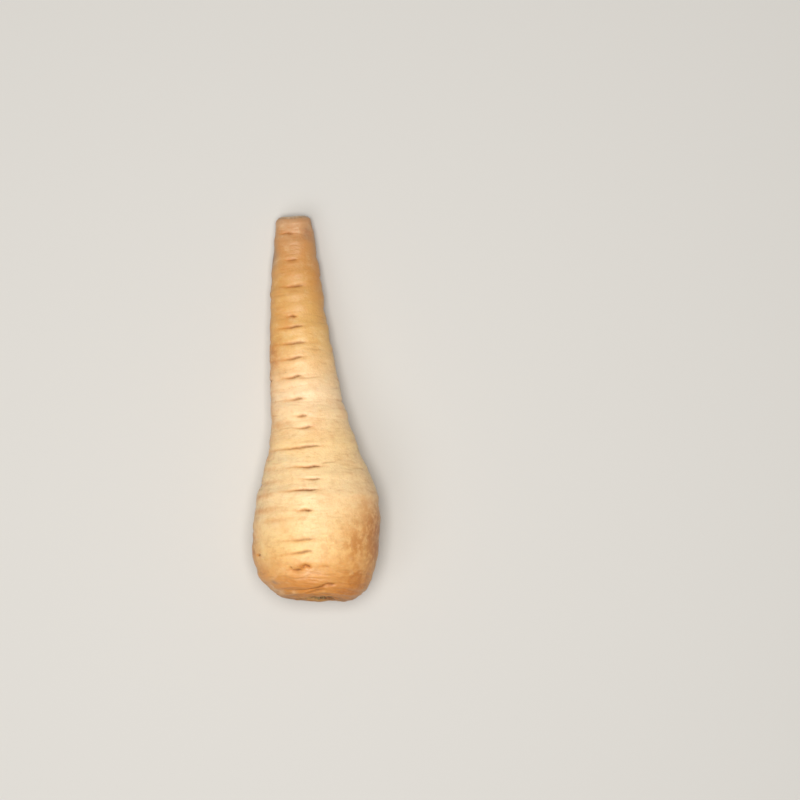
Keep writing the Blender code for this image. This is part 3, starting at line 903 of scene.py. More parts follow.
def crumb_tree() -> Tree:
    """Scatters crumbs over the part of a skin where a mark is strong.

    Returns:
        The Geometry Nodes tree.
    """
    takes = {
        "Geometry": (SHAPE,), "Threshold": (FLOAT, 0.8), "Density": (FLOAT, 1e6), "Smallest": (FLOAT, 0.35),
        "Largest": (FLOAT, 1.4), "Radius": (FLOAT, 0.15 * MM), "Seed": (WHOLE, SEED), "Material": (MATERIAL,),
    }
    kit, given, out = new_group("crumbs", "GeometryNodeTree", takes, {"Geometry": SHAPE})
    scattered = kit.add("GeometryNodeDistributePointsOnFaces", {
        "Mesh": given["Geometry"], "Density": given["Density"], "Seed": given["Seed"],
        "Selection": kit.math("GREATER_THAN", kit.named(Mark.CROWN), given["Threshold"]),
    }, distribute_method="RANDOM").outputs
    grown = kit.made("GeometryNodeInstanceOnPoints", {
        "Points": scattered["Points"], "Rotation": scattered["Rotation"],
        "Instance": kit.made("GeometryNodeMeshIcoSphere", {"Radius": given["Radius"], "Subdivisions": 1}),
        "Scale": kit.chance(given["Smallest"], given["Largest"], given["Seed"]),
    })
    kit.feed(out["Geometry"], dressed(kit, grown, given["Material"]))
    return kit.tree


@dataclass(frozen=True)
class Slit:
    """A short slit across the skin, left by a side root."""

    place: float
    turn: float
    half: float
    depth: float
    slant: float = 0.0


def seen(*rows: tuple) -> tuple[Slit, ...]:
    """Slits, given by their places, turns, half lengths, depths and slants, in millimetres and degrees.

    Args:
        rows: the slits' numbers, in that order.

    Returns:
        The slits.
    """
    return tuple(
        Slit(place * MM, math.radians(turn), half * MM, depth * MM, *slant)
        for place, turn, half, depth, *slant in rows
    )


@dataclass(frozen=True)
class Patch:
    """A soft patch on the skin."""

    place: float
    turn: float
    reach: float
    spread: float
    strength: float


def soft_patches(*rows: tuple) -> tuple[Patch, ...]:
    """Patches, given by their places, turns, reaches, spreads and strengths, in millimetres and degrees.

    Args:
        rows: the patches' numbers, in that order.

    Returns:
        The patches.
    """
    return tuple(
        Patch(place * MM, math.radians(turn), reach * MM, math.radians(spread), strength)
        for place, turn, reach, spread, strength in rows
    )


@dataclass
class Outline:
    """The smooth root's outline, from the middle of its crown to the middle of its cut tip."""

    length: float = 136.3 * MM
    shoulder_radius: float = 22.1 * MM
    shoulder_place: float = 21 * MM
    shoulder_fullness: float = 0.8
    rim_radius: float = 8.4 * MM
    hollow_radius: float = 6.7 * MM
    hollow_depth: float = 3.6 * MM
    hollow_dome: float = 1.0 * MM
    tip_rounding: float = 2.9 * MM
    flank: tuple = (
        (0.1533, 0.995), (0.2158, 0.985), (0.2664, 0.938), (0.3319, 0.796), (0.3865, 0.698), (0.4451, 0.616),
        (0.5483, 0.546), (0.6526, 0.498), (0.7300, 0.442), (0.8392, 0.393), (0.9265, 0.327), (0.9901, 0.286),
    )
    curve_steps: int = 24
    flank_steps: int = 300

    def __post_init__(self) -> None:
        """Traces the outline once."""
        self.places, self.radii = self.traced()
        steps = np.hypot(np.diff(self.places), np.diff(self.radii))
        self.arcs = np.concatenate([[0], np.cumsum(steps)])
        self.outer = int(np.argmax(self.radii >= self.rim_radius))
        self.rim_arc = self.arcs[self.outer]
        self.face_arc = self.arcs[-self.curve_steps]
        self.end_arc = self.arcs[-1]

    def traced(self) -> tuple[Array, Array]:
        """Steps along the outline.

        Returns:
            The places and the radii of its points.
        """
        quarter = np.linspace(0, math.pi / 2, self.curve_steps)
        floor = np.linspace(0, self.hollow_radius, self.curve_steps, endpoint=False)
        flank_end = self.length - self.tip_rounding
        flank = np.linspace(self.shoulder_place, flank_end, self.flank_steps)
        flank_radius = self.shoulder_radius * smooth_curve(self.flank)(flank / self.length)
        face_radius = flank_radius[-1] - self.tip_rounding
        face = np.linspace(face_radius, 0, self.curve_steps)
        swelling = np.sin(quarter) ** self.shoulder_fullness
        places = (
            self.hollow_depth - self.hollow_dome * (1 - (floor / self.hollow_radius) ** 2),
            self.hollow_depth * (1 - np.sin(quarter))[:-1],
            self.shoulder_place * (1 - np.cos(quarter))[:-1],
            flank[:-1],
            flank_end + self.tip_rounding * np.sin(quarter)[:-1],
            np.full(len(face), self.length),
        )
        radii = (
            floor,
            self.rim_radius - (self.rim_radius - self.hollow_radius) * np.cos(quarter)[:-1],
            self.rim_radius + (flank_radius[0] - self.rim_radius) * swelling[:-1],
            flank_radius[:-1],
            face_radius + self.tip_rounding * np.cos(quarter)[:-1],
            face,
        )
        return np.concatenate(places), np.concatenate(radii)

    def place_at(self, arc: Array) -> Array:
        """The place at an arc."""
        return np.interp(arc, self.arcs, self.places)

    def radius_at(self, arc: Array) -> Array:
        """The radius at an arc."""
        return np.interp(arc, self.arcs, self.radii)

    def arc_at(self, place: Array) -> Array:
        """The arc of a place on the outside of the root."""
        return np.interp(place, self.places[self.outer:], self.arcs[self.outer:])


@dataclass
class Relief:
    """How the skin stands over the smooth outline: rings, folds, slits and creases."""

    outline: Outline
    swells: tuple = (
        (0.15 * MM, 10.3 * MM, 0.4, 1.2), (0.07 * MM, 6.1 * MM, 2.2, 2.1), (0.04 * MM, 3.9 * MM, 5.1, 2.8),
    )
    swell_start: float = 7 * MM
    swell_end: float = 4 * MM
    swell_change: tuple = (0.5, 9 * MM, 14 * MM)
    fold_height: float = 0.20 * MM
    fold_spacing: float = 3.6 * MM
    fold_reach: float = 11 * MM
    fold_wander: tuple = (1.4, 1.0)
    fold_change: tuple = (0.6, 0.4, 0.8)
    rim_waves: tuple = ((3, 0.9, 0.20 * MM), (5, 2.7, 0.13 * MM), (7, 5.2, 0.09 * MM))
    rim_reach: float = 3.2 * MM
    puckers: tuple = ((13, 0.6, 0.08 * MM), (21, 2.2, 0.06 * MM), (34, 4.4, 0.035 * MM))
    pucker_reach: float = 2.0 * MM
    lump_count: int = 200
    lump_reach: tuple = (2.0 * MM, 7.0 * MM)
    lump_share: float = 0.028
    skin_fade: float = 3.5 * MM
    slit_half_width: float = 0.85 * MM
    lips: tuple = (0.16, 2.3, 1.2)
    tail: tuple = (0.22, 1.3, 3.4)
    cleft_width: float = 0.34 * MM
    scar_width: float = 0.50 * MM
    scar_full: float = 0.62 * MM
    scar_open: tuple = (0.82, 0.3, 1.4)
    scar_offset: float = 0.1
    halo_size: tuple = (0.6, 0.4, 1.4)
    ragged: tuple = ((0.045 * MM, 3.7 * MM), (0.02 * MM, 1.9 * MM))
    cleft_share: float = 0.34
    soft_share: float = 0.62
    top_slits: tuple = seen(
        (129.6, 108, 2.3, 0.50, -0.04), (119.3, 97, 1.9, 0.40, -0.02), (109.7, 94, 3.3, 0.50, -0.02),
        (99.0, 101, 1.4, 0.60, 0.02), (95.0, 100, 3.6, 0.55, 0.04), (89.2, 101, 4.6, 0.45, 0.01),
        (83.7, 103, 3.2, 0.55, 0.08), (77.1, 107, 3.0, 0.55, 0.08), (69.3, 106, 2.7, 0.50, 0.06),
        (63.1, 100, 1.8, 0.50, -0.01), (59.0, 96, 2.4, 0.50, 0.07), (52.0, 106, 8.0, 0.45, 0.01),
        (44.9, 94, 3.9, 0.65, -0.01), (40.4, 91, 2.8, 0.45, -0.04), (36.6, 100, 4.6, 0.60),
        (29.5, 98, 2.2, 0.80, -0.03), (19.3, 101, 4.4, 0.35, 0.02), (14.9, 101, 4.0, 0.50, 0.09),
        (8.7, 107, 2.0, 0.85), (9.5, 100, 0.8, 0.75, 0.9), (10.1, 96, 1.1, 0.95, -0.05),
        (9.6, 93, 0.4, 0.90), (9.7, 112, 0.4, 0.42), (10.1, 77, 1.6, 0.20), (1.8, 116, 4.5, 0.30, 0.05),
        (2.6, 88, 3.4, 0.70, 0.38), (4.1, 73, 2.2, 0.90, 0.22), (1.6, 91, 3.6, 0.50, 0.42),
        (0.8, 78, 3.0, 0.40, 0.15),
    )
    left_slits: tuple = seen(
        (106.6, 178, 2.4, 0.35), (91.2, 178, 2.4, 0.35), (77.1, 176, 4.0, 0.60), (54.1, 178, 3.0, 0.60),
        (40.8, 178, 3.2, 0.40), (25.1, 178, 3.2, 0.45), (15.1, 154, 1.3, 0.60),
    )
    ruled_rows: tuple = (math.radians(350), math.radians(278))
    row_jitter: float = math.radians(7)
    row_start: float = 9 * MM
    row_gap: tuple = (6.5 * MM, 12 * MM)
    row_half: tuple = (1.6 * MM, 4.2 * MM)
    row_depth: tuple = (0.35 * MM, 0.75 * MM)
    rests: tuple = ((25 * MM, 9 * MM), (136 * MM, 9 * MM))
    rest_spread: float = math.radians(24)
    crease_count: int = 420
    crowded_count: int = 260
    crowded_reach: float = 16 * MM
    crowded_depth: float = 1.9
    crease_half: tuple = (0.8 * MM, 4.8 * MM)
    crease_depth: tuple = (0.02 * MM, 0.12 * MM)
    crease_width: tuple = (0.20 * MM, 0.42 * MM)
    crease_slant: float = 0.08
    crease_curl: float = 0.12
    crease_margin: float = 1.5
    snake: float = 0.14 * MM
    snake_start: float = 0.2
    snake_reach: float = 2.5

    def __post_init__(self) -> None:
        """Gathers the slits of all four rows, and draws the creases and the lumps."""
        self.slits = self.top_slits + self.left_slits + self.ruled_slits()
        self.creases = self.drawn_creases()
        self.lumps = self.drawn_lumps()

    def ruled_slits(self) -> tuple[Slit, ...]:
        """The slits of the two rows that follow a rule, spaced by seeded chance.

        Returns:
            The slits.
        """
        chance = np.random.default_rng(SEED)
        slits = []
        for row in self.ruled_rows:
            place = self.row_start + chance.uniform(0, self.row_gap[0])
            while place < self.outline.length - self.row_start:
                turn = row + chance.uniform(-self.row_jitter, self.row_jitter)
                half = chance.uniform(*self.row_half)
                slits.append(Slit(place, turn, half, chance.uniform(*self.row_depth)))
                place += chance.uniform(*self.row_gap)
        return tuple(slits)

    def drawn_creases(self) -> Array:
        """Draws the fine creases.

        Returns:
            A row for each: its arc, turn, half length, depth, half width, slant and curl.
        """
        chance = np.random.default_rng(SEED + 1)
        count = self.crease_count + self.crowded_count
        arcs = chance.uniform(self.outline.rim_arc, self.outline.face_arc, count)
        crowded = self.outline.rim_arc + self.crowded_reach * chance.uniform(0, 1, self.crowded_count)
        arcs[: self.crowded_count] = crowded
        deeper = np.where(np.arange(count) < self.crowded_count, self.crowded_depth, 1.0)
        return np.stack([
            arcs,
            chance.uniform(-math.pi, math.pi, count),
            chance.uniform(*self.crease_half, count),
            deeper * (self.crease_depth[0] + np.diff(self.crease_depth) * chance.uniform(0, 1, count) ** 2),
            chance.uniform(*self.crease_width, count),
            chance.normal(0, self.crease_slant, count),
            chance.normal(0, self.crease_curl, count),
        ], axis=1)

    def drawn_lumps(self) -> Array:
        """Draws the soft lumps and dents.

        Returns:
            A row for each: its arc, turn, reach and height.
        """
        chance = np.random.default_rng(SEED + 5)
        reach = chance.uniform(*self.lump_reach, self.lump_count)
        return np.stack([
            chance.uniform(self.outline.rim_arc, self.outline.face_arc, self.lump_count),
            chance.uniform(-math.pi, math.pi, self.lump_count),
            reach,
            self.lump_share * reach * chance.normal(0, 1, self.lump_count),
        ], axis=1)

    def on_slit(self, slit: Slit, arc: Array, turn: Array) -> tuple[Array, Array]:
        """Where points are on a slit.

        Args:
            slit: the slit.
            arc: the points' arcs.
            turn: the points' turns.

        Returns:
            The distances across the slit's line, and along it.
        """
        middle = self.outline.arc_at(slit.place)
        along = turn_from(turn, slit.turn) * self.outline.radius_at(middle)
        turning = math.pi * (along / slit.half + self.snake_start)
        line = self.snake * math.sin(slit.place / MM) * np.sin(turning)
        for height, wavelength in self.ragged:
            line = line + height * np.sin(2 * math.pi * along / wavelength + slit.place / MM)
        line = line * bell(along, self.snake_reach * slit.half)
        return arc - middle + slit.slant * along + line, along

    def slit_height(self, slit: Slit, across: Array, along: Array) -> Array:
        """The groove of one slit, its sharp cleft, its raised lips and its long shallow tail.

        Args:
            slit: the slit.
            across: the points' distances across its line.
            along: those along it.

        Returns:
            The height, for each point.
        """
        def mark(share: float, width: float, reach: float) -> Array:
            """One soft mark, as a share of the slit's depth."""
            return share * bell(across, self.slit_half_width * width) * bell(along, slit.half * reach)

        soft = mark(*self.lips) - mark(1 + self.lips[0], 1.0, 1.0) - mark(*self.tail)
        cleft = bell(across, self.cleft_width) * lens(along, slit.half)
        return slit.depth * (self.soft_share * soft - self.cleft_share * cleft)

    def swell_height(self, arc: Array, turn: Array) -> Array:
        """Broad rings round the root, fading out towards the crown and the tip.

        Args:
            arc: the rings' arcs, one to a row.
            turn: the turns of their points, one to a column.

        Returns:
            The height, for each point.
        """
        outside = arc - self.outline.rim_arc
        height = 0.0
        for swell, wavelength, phase, wander in self.swells:
            wobble = wander * (np.sin(turn + phase) + np.sin(2 * turn - phase) / 2)
            height = height + swell * np.sin(2 * math.pi * outside / wavelength + phase + wobble)
        face = self.outline.face_arc
        share, first, second = self.swell_change
        height = height * (1 + share * np.sin(turn + outside / first) * np.sin(2 * turn - outside / second))
        return height * ease(0, self.swell_start, outside) * (1 - ease(face - self.swell_end, face, arc))

    def fold_height_at(self, arc: Array, turn: Array) -> Array:
        """Folds crowded between the crown's rim and the shoulder.

        Args:
            arc: the rings' arcs, one to a row.
            turn: the turns of their points, one to a column.

        Returns:
            The height, for each point.
        """
        outside = arc - self.outline.rim_arc
        wobble = self.fold_wander[0] * np.sin(2 * turn) + self.fold_wander[1] * np.sin(3 * turn)
        level, change, phase = self.fold_change
        folds = np.sin(2 * math.pi * outside / self.fold_spacing + wobble)
        folds = folds * (level + change * np.sin(3 * turn + phase))
        rising = ease(0, self.fold_spacing / 2, outside)
        return self.fold_height * folds * rising * (1 - ease(self.fold_reach / 2, self.fold_reach, outside))

    def lump_height(self, arc: Array, turn: Array) -> Array:
        """Soft lumps and dents all over, that break up the even rings.

        Args:
            arc: the rings' arcs, one to a row.
            turn: the turns of their points, one to a column.

        Returns:
            The height, for each point.
        """
        height = np.zeros((arc.shape[0], turn.shape[1]))
        for middle, facing, reach, tall in self.lumps:
            rows = self.rows_near(arc, middle, BELL_REACH * reach)
            along = turn_from(turn, facing) * self.outline.radius_at(middle)
            height[rows] += tall * bell(np.hypot(arc[rows] - middle, along), reach)
        return height

    @staticmethod
    def rows_near(arc: Array, middle: float, reach: float) -> slice:
        """The rings whose arcs are within reach of a middle."""
        return slice(*np.searchsorted(arc[:, 0], [middle - reach, middle + reach]))

    def rim_height(self, arc: Array, turn: Array) -> Array:
        """The uneven rim of the crown's hollow, with small puckers across it.

        Args:
            arc: the rings' arcs, one to a row.
            turn: the turns of their points, one to a column.

        Returns:
            The height, for each point.
        """
        beside = arc - self.outline.rim_arc
        height = 0.0
        for waves, reach in ((self.rim_waves, self.rim_reach), (self.puckers, self.pucker_reach)):
            for count, phase, tall in waves:
                height = height + tall * np.sin(count * turn + phase + beside / reach) * bell(beside, reach)
        return height

    def crease_marks(self, arc: Array, turn: Array) -> tuple[Array, Array]:
        """The fine creases of a band of rings.

        Args:
            arc: the rings' arcs, one to a row.
            turn: the turns of their points, one to a column.

        Returns:
            The creases' height and how strongly they are marked, for each point.
        """
        height = np.zeros((arc.shape[0], turn.shape[1]))
        marked = np.zeros_like(height)
        deepest = self.crease_depth[1]
        for middle, facing, half, depth, width, slant, curl in self.creases:
            sideways = (abs(slant) + self.crease_margin * abs(curl)) * self.crease_margin * half
            rows = self.rows_near(arc, middle, BELL_REACH * width + sideways)
            along = turn_from(turn, facing) * self.outline.radius_at(middle)
            across = arc[rows] - middle + slant * along + curl * along**2 / half
            mark = bell(across, width) * lens(along, half)
            height[rows] -= depth * mark
            marked[rows] = np.maximum(marked[rows], mark * depth / deepest)
        return height, marked

    def on_skin(self, arc: Array) -> Array:
        """1 on the skin, and 0 in the hollow and on the cut face.

        Args:
            arc: the arcs.

        Returns:
            The share, for each arc.
        """
        rim, face = self.outline.rim_arc, self.outline.face_arc
        inner = ease(rim - self.slit_half_width, rim + self.slit_half_width, arc)
        return inner * (1 - ease(face - self.skin_fade, face, arc))

    def lying(self, arc: Array, turn: Array) -> Array:
        """How flat the skin is pressed where the root lies, from 0 to 1.

        Args:
            arc: the rings' arcs, one to a row.
            turn: the turns of their points, one to a column.

        Returns:
            The share, for each point.
        """
        left = 1.0
        for rest, reach in self.rests:
            under = bell(turn_from(turn, -math.pi / 2), self.rest_spread)
            left = left * (1 - under * bell(arc - self.outline.arc_at(rest), reach))
        return 1 - left

    def slit_cover(self, slit: Slit, across: Array, along: Array) -> tuple[Array, Array]:
        """How strongly a slit's scar and its halo cover each point.

        Args:
            slit: the slit.
            across: the points' distances across its line.
            along: their distances along it.

        Returns:
            The scar's strength, wider at one end, and the halo's.
        """
        opened, change, quickness = self.scar_open
        side = opened - change * np.tanh(quickness * along / slit.half)
        opening = self.scar_width * np.sqrt(np.clip(1 - (along / slit.half) ** 2, 0.01, 1))
        scar = side * bell(across, opening * side) * lens(along + self.scar_offset * slit.half, slit.half)
        wide, ahead, long = self.halo_size
        halo = bell(across, wide * self.slit_half_width) * bell(along - ahead * slit.half, long * slit.half)
        strength = min(1.0, slit.depth / self.scar_full)
        return strength * scar, strength * halo

    def height(self, arc: Array, turn: Array) -> tuple[Array, dict[Mark, Array]]:
        """The skin's height over the smooth outline, and its marks.

        Args:
            arc: the rings' arcs, one to a row.
            turn: the turns of their points, one to a column.

        Returns:
            The height, and the strength of the slits, of their halos and of the creases.
        """
        height = self.swell_height(arc, turn) + self.fold_height_at(arc, turn) + self.lump_height(arc, turn)
        scar = np.zeros_like(height)
        halo = np.zeros_like(height)
        for slit in self.slits:
            across, along = self.on_slit(slit, arc, turn)
            height = height + self.slit_height(slit, across, along)
            scarred, haloed = self.slit_cover(slit, across, along)
            scar += scarred
            halo += haloed
        creased, crease = self.crease_marks(arc, turn)
        skin = self.on_skin(arc)
        height = (height + creased) * (1 - self.lying(arc, turn)) * skin + self.rim_height(arc, turn)
        marks = {Mark.SCAR: scar * skin, Mark.HALO: halo * skin, Mark.CREASE: crease * skin}
        return height, {mark: np.clip(value, 0, 1) for mark, value in marks.items()}


@dataclass
class Root:
    """The taproot: its form about its own axis, how it lies, and its fine skin."""

    outline: Outline
    relief: Relief
    flatness: float = 0.94
    pressed_flat: float = 0.5 * MM
    crown_skew: float = math.radians(6.4)
    crown_skew_reach: float = 26 * MM
    tip_slant: float = math.radians(12)
    tip_slant_reach: float = 11 * MM
    cut_rim: float = 2.1 * MM
    bow: tuple = (
        (0.0000, 0.0), (0.0967, 0.4 * MM), (0.1533, 1.1 * MM), (0.2188, 2.0 * MM), (0.2704, 2.3 * MM),
        (0.3796, 2.0 * MM), (0.4451, 1.5 * MM), (0.5106, 0.8 * MM), (0.6496, -0.3 * MM),
        (0.8471, -0.4 * MM), (1.0000, -0.2 * MM),
    )
    lobes: tuple = ((2, 0.012, 0.7, 0.35), (3, 0.014, 2.1, -0.5), (5, 0.006, 4.0, 0.8))
    worn: tuple = (
        (0.3 * MM, math.radians(95), math.radians(30), 0.0, 4.0 * MM),
        (1.15 * MM, math.radians(54), math.radians(17), 0.0, 2.6 * MM),
        (0.6 * MM, math.radians(188), math.radians(38), 7.0 * MM, 4.5 * MM),
    )
    crown_end: float = -68.7 * MM
    lean_rounds: int = 8
    lean_every: int = 4
    wide_sides: int = 200
    narrow_from: float = 52 * MM
    ring_spacing: float = 0.22 * MM
    hollow_spacing: float = 0.5 * MM
    face_spacing: float = 0.4 * MM
    # A band of the hollow's wall that is painted shade in the earth's colour: its turn, strength and spread.
    hollow_shade: tuple = (math.radians(311), 0.48, math.radians(23))
    shade_reach: float = 0.7 * MM
    hollow_mark: float = 0.55
    floor_mark: float = 0.45
    floor_reach: float = 3.4 * MM
    crown_reach: float = 4.5 * MM
    probe: float = 0.3 * MM
    probe_turn: float = 0.02
    # Soft grey patches: on the left edge near the tip, on the tip's right, and a small one by the crown.
    grey_spots: tuple = soft_patches(
        (121.0, 166, 3.4, 24, 1.0), (129.6, 46, 2.4, 17, 0.55), (4.6, 141, 1.0, 4, 0.8),
    )
    # Patches of ochre and russet: the small ones are brown spots on the skin, the broad ones along the left
    # side, on the right of the shoulder and near the tip are painted shade.
    ochre_and_shade_patches: tuple = soft_patches(
        (129.4, 45, 2.6, 22, 0.6), (16.5, 166, 2.2, 9, 1.0), (8.5, 155, 4.0, 16, 0.6),
        (6.0, 34, 8.0, 28, 1.0), (112.0, 30, 12.0, 30, 0.5), (85.0, 172, 26.0, 22, 0.7),
        (20.0, 16, 15.0, 38, 1.0), (18.0, 176, 12.0, 24, 0.85), (4.0, 104, 3.6, 46, 0.66),
        (2.5, 42, 5.0, 28, 1.0), (10.0, 101, 1.6, 10, 0.6), (13.0, 130, 4.0, 14, 0.4),
        (86.0, 152, 7.0, 30, 0.8), (11.0, 58, 4.0, 18, 0.5), (17.0, 46, 11.0, 20, 0.8),
        (36.0, 158, 1.1, 24, 0.55), (40.6, 150, 0.9, 22, 0.45), (31.0, 152, 1.2, 30, 0.6),
        (45.5, 160, 0.9, 26, 0.5), (50.0, 172, 1.4, 20, 0.6), (61.0, 140, 1.2, 26, 0.45),
        (66.0, 168, 1.0, 22, 0.4), (27.0, 130, 1.1, 24, 0.4), (73.0, 150, 0.9, 24, 0.4),
    )

    def __post_init__(self) -> None:
        """Works out the arcs of the mesh's rings and how the root lies."""
        rim, face = self.outline.rim_arc, self.outline.face_arc
        hollow_end = rim - MM
        narrow = self.outline.arc_at(self.narrow_from)
        hollow = self.stepped(0, hollow_end, self.hollow_spacing)[1:]
        shoulder = self.stepped(hollow_end, narrow, self.ring_spacing)[1:]
        neck = self.stepped(narrow, face, self.ring_spacing)[1:]
        cut = self.stepped(face, self.outline.end_arc, self.face_spacing)[1:-1]
        self.bands = (
            (np.concatenate([hollow, shoulder]), self.turns(self.wide_sides)),
            (np.concatenate([neck, cut]), self.turns(self.wide_sides // 2)),
        )
        self.lay_down()

    @staticmethod
    def stepped(low: float, high: float, spacing: float) -> Array:
        """Even steps from low to high, about that far apart."""
        return np.linspace(low, high, round((high - low) / spacing) + 1)

    @staticmethod
    def turns(sides: int) -> Array:
        """The turns of a ring's points, from the underside round."""
        return 2 * math.pi * np.arange(sides) / sides - math.pi / 2

    def upright(self, arc: Array, turn: Array) -> tuple[Array, dict[Mark, Array]]:
        """Points of the root about its own axis.

        Args:
            arc: the rings' arcs, one to a row.
            turn: the turns of their points, one to a column.

        Returns:
            The points, and the marks of the skin there.
        """
        place, radius = self.outline.place_at(arc), self.outline.radius_at(arc)
        step = self.relief.slit_half_width / 2
        along = self.outline.place_at(arc + step) - self.outline.place_at(arc - step)
        outwards = self.outline.radius_at(arc + step) - self.outline.radius_at(arc - step)
        length = np.hypot(along, outwards)
        raised, marks = self.relief.height(arc, turn)
        rim = self.outline.rim_arc
        for count, share, phase, wander in self.lobes:
            lobe = np.sin(count * turn + phase + 2 * math.pi * wander * place / self.outline.length)
            raised = raised + share * radius * lobe * ease(rim, rim + self.outline.shoulder_place, arc)
        place = place - raised * outwards / length
        radius = radius + raised * along / length
        skew = math.tan(self.crown_skew) * (1 - ease(0, self.crown_skew_reach, place))
        slanting = ease(self.outline.length - self.tip_slant_reach, self.outline.length, place)
        slant = math.tan(self.tip_slant) * slanting
        shift = -skew * radius * np.cos(turn) - slant * radius * np.sin(turn)
        for depth, middle, spread, offset, reach in self.worn:
            shift = shift + depth * bell(turn_from(turn, middle), spread) * bell(arc - rim - offset, reach)
        x = smooth_curve(self.bow)(place / self.outline.length) + radius * np.cos(turn)
        return np.stack([x, place + shift, self.flatness * radius * np.sin(turn)], axis=-1), marks

    def lay_down(self) -> None:
        """Finds the lean that lays the root on its shoulder and its tip, and its shift."""
        coarse = ((arcs[:: self.lean_every, None], turns[None, :]) for arcs, turns in self.bands)
        points = np.concatenate([self.upright(*band)[0].reshape(-1, 3) for band in coarse])
        tip_half = points[:, 1] > self.outline.length / 2
        lean = 0.0
        for _ in range(self.lean_rounds):
            along = points[:, 1] * math.cos(lean) + points[:, 2] * math.sin(lean)
            height = points[:, 2] * math.cos(lean) - points[:, 1] * math.sin(lean)
            under_shoulder = np.argmin(np.where(tip_half, math.inf, height))
            under_tip = np.argmin(np.where(tip_half, height, math.inf))
            rise = height[under_tip] - height[under_shoulder]
            lean += math.atan2(rise, along[under_tip] - along[under_shoulder])
        lift = Matrix.Translation((0, 0, -self.pressed_flat - height.min()))
        self.lying = lift @ Matrix.Rotation(-lean, 4, "X")
        placed = self.moved(points)
        middle = (placed[:, 0].min() + placed[:, 0].max()) / 2
        self.lying = Matrix.Translation((-middle, self.crown_end - placed[:, 1].min(), 0)) @ self.lying

    def moved(self, points: Array) -> Array:
        """Points about the root's axis, moved to where the root lies and pressed flat there.

        Args:
            points: the points.

        Returns:
            The points where they lie.
        """
        turned = points @ np.array(self.lying)[:3, :3].T + np.array(self.lying)[:3, 3]
        turned[..., 2] = np.maximum(turned[..., 2], 0.0)
        return turned

    def patched(self, patches: Iterable[Patch], arc: Array, turn: Array) -> Array:
        """How strongly some patches cover each point.

        Args:
            patches: the patches.
            arc: the rings' arcs, one to a row.
            turn: the turns of their points, one to a column.

        Returns:
            The share, for each point.
        """
        cover = np.zeros(np.broadcast_shapes(arc.shape, turn.shape))
        for one in patches:
            reach = bell(arc - self.outline.arc_at(one.place), one.reach)
            cover = np.maximum(cover, one.strength * reach * bell(turn_from(turn, one.turn), one.spread))
        return cover

    def marks(self, arc: Array, turn: Array) -> dict[Mark, Array]:
        """The places and patches that the skin's mesh carries, besides its relief's marks.

        Args:
            arc: the rings' arcs, one to a row.
            turn: the turns of their points, one to a column.

        Returns:
            The values by their marks.
        """
        shape = np.broadcast_shapes(arc.shape, turn.shape)
        radius = self.outline.radius_at(arc) / MM
        wound = np.stack(np.broadcast_arrays(radius * np.cos(turn), arc / MM, radius * np.sin(turn)), axis=-1)
        rim, face = self.outline.rim_arc, self.outline.face_arc
        inside = rim - arc
        # Painted shade on part of the hollow's wall.
        darkened = self.hollow_shade[1] * bell(turn_from(turn, self.hollow_shade[0]), self.hollow_shade[2])
        deep = self.floor_mark * ease(0, self.floor_reach, inside)
        deep = deep + darkened * ease(0, self.shade_reach, inside)
        outside = self.hollow_mark * bell(inside, self.crown_reach)
        crown = np.where(inside > 0, np.minimum(self.hollow_mark + deep, 1.0), outside)
        cut_from = face - self.cut_rim
        share = self.outline.radius_at(arc) / self.outline.radius_at(cut_from)
        cut = np.where(arc >= cut_from, 2 - share, 0.0)
        return {
            Mark.WOUND: wound,
            Mark.ALONG: np.broadcast_to(self.outline.place_at(arc) / self.outline.length, shape),
            Mark.SKIN: np.broadcast_to(self.relief.on_skin(arc), shape) * (1 - self.relief.lying(arc, turn)),
            Mark.CROWN: np.broadcast_to(crown, shape),
            Mark.CUT: np.broadcast_to(cut, shape),
            Mark.BRUISE: self.patched(self.grey_spots, arc, turn),
            Mark.OCHRE: self.patched(self.ochre_and_shade_patches, arc, turn),
        }

    def build(self, skin: Material, flesh: Material) -> Piece:
        """Builds the fine skin.

        Args:
            skin: the material of the skin.
            flesh: the material of the cut face.

        Returns:
            The skin, closed at the middle of the crown and of the cut face.
        """
        ends = ((np.zeros(1), np.zeros(1)), (np.full(1, self.outline.end_arc), np.zeros(1)))
        points, rings, values, count = [], [], [], 0
        for arcs, turns in (ends[0], *self.bands, ends[1]):
            arc, turn = arcs[:, None], turns[None, :]
            upright, marks = self.upright(arc, turn)
            marks |= self.marks(arc, turn)
            points.append(self.moved(upright).reshape(-1, 3))
            values.append({mark: value.reshape(upright[..., 0].size, -1) for mark, value in marks.items()})
            rings += list(count + np.arange(upright[..., 0].size).reshape(len(arcs), -1))
            count += upright[..., 0].size
        faces = [face for pair in zip(rings, rings[1:]) for face in ring_faces(*pair)]
        obj = mesh_object("root_skin", np.concatenate(points), faces)
        for mark in values[0]:
            carry(obj, mark, np.squeeze(np.concatenate([value[mark] for value in values])))
        inputs = {"Height": 0.06 * MM, "Spacing": 1.6, "Stretch": 4.5, "Sharpness": 4.0, "Patches": 9.0}
        settled(obj, wrinkle_tree(), inputs | {"Seed": float(SEED), "Skin": skin, "Flesh": flesh})
        self.press_flat(obj)
        return obj

    @staticmethod
    def press_flat(obj: Piece) -> None:
        """Keeps every point of a mesh on or above the surface that the root lies on.

        Args:
            obj: the mesh object.
        """
        points = np.zeros(3 * len(obj.data.vertices), np.float32)
        obj.data.vertices.foreach_get("co", points)
        points[2::3] = np.maximum(points[2::3], 0.0)
        obj.data.vertices.foreach_set("co", points)
        obj.data.update()

    def points_at(self, arc: Array, turn: Array) -> Array:
        """The points on the skin at single arcs and turns."""
        pairs = zip(arc.reshape(-1, 1, 1), turn.reshape(-1, 1, 1))
        return np.stack([self.moved(self.upright(*pair)[0])[0, 0] for pair in pairs])

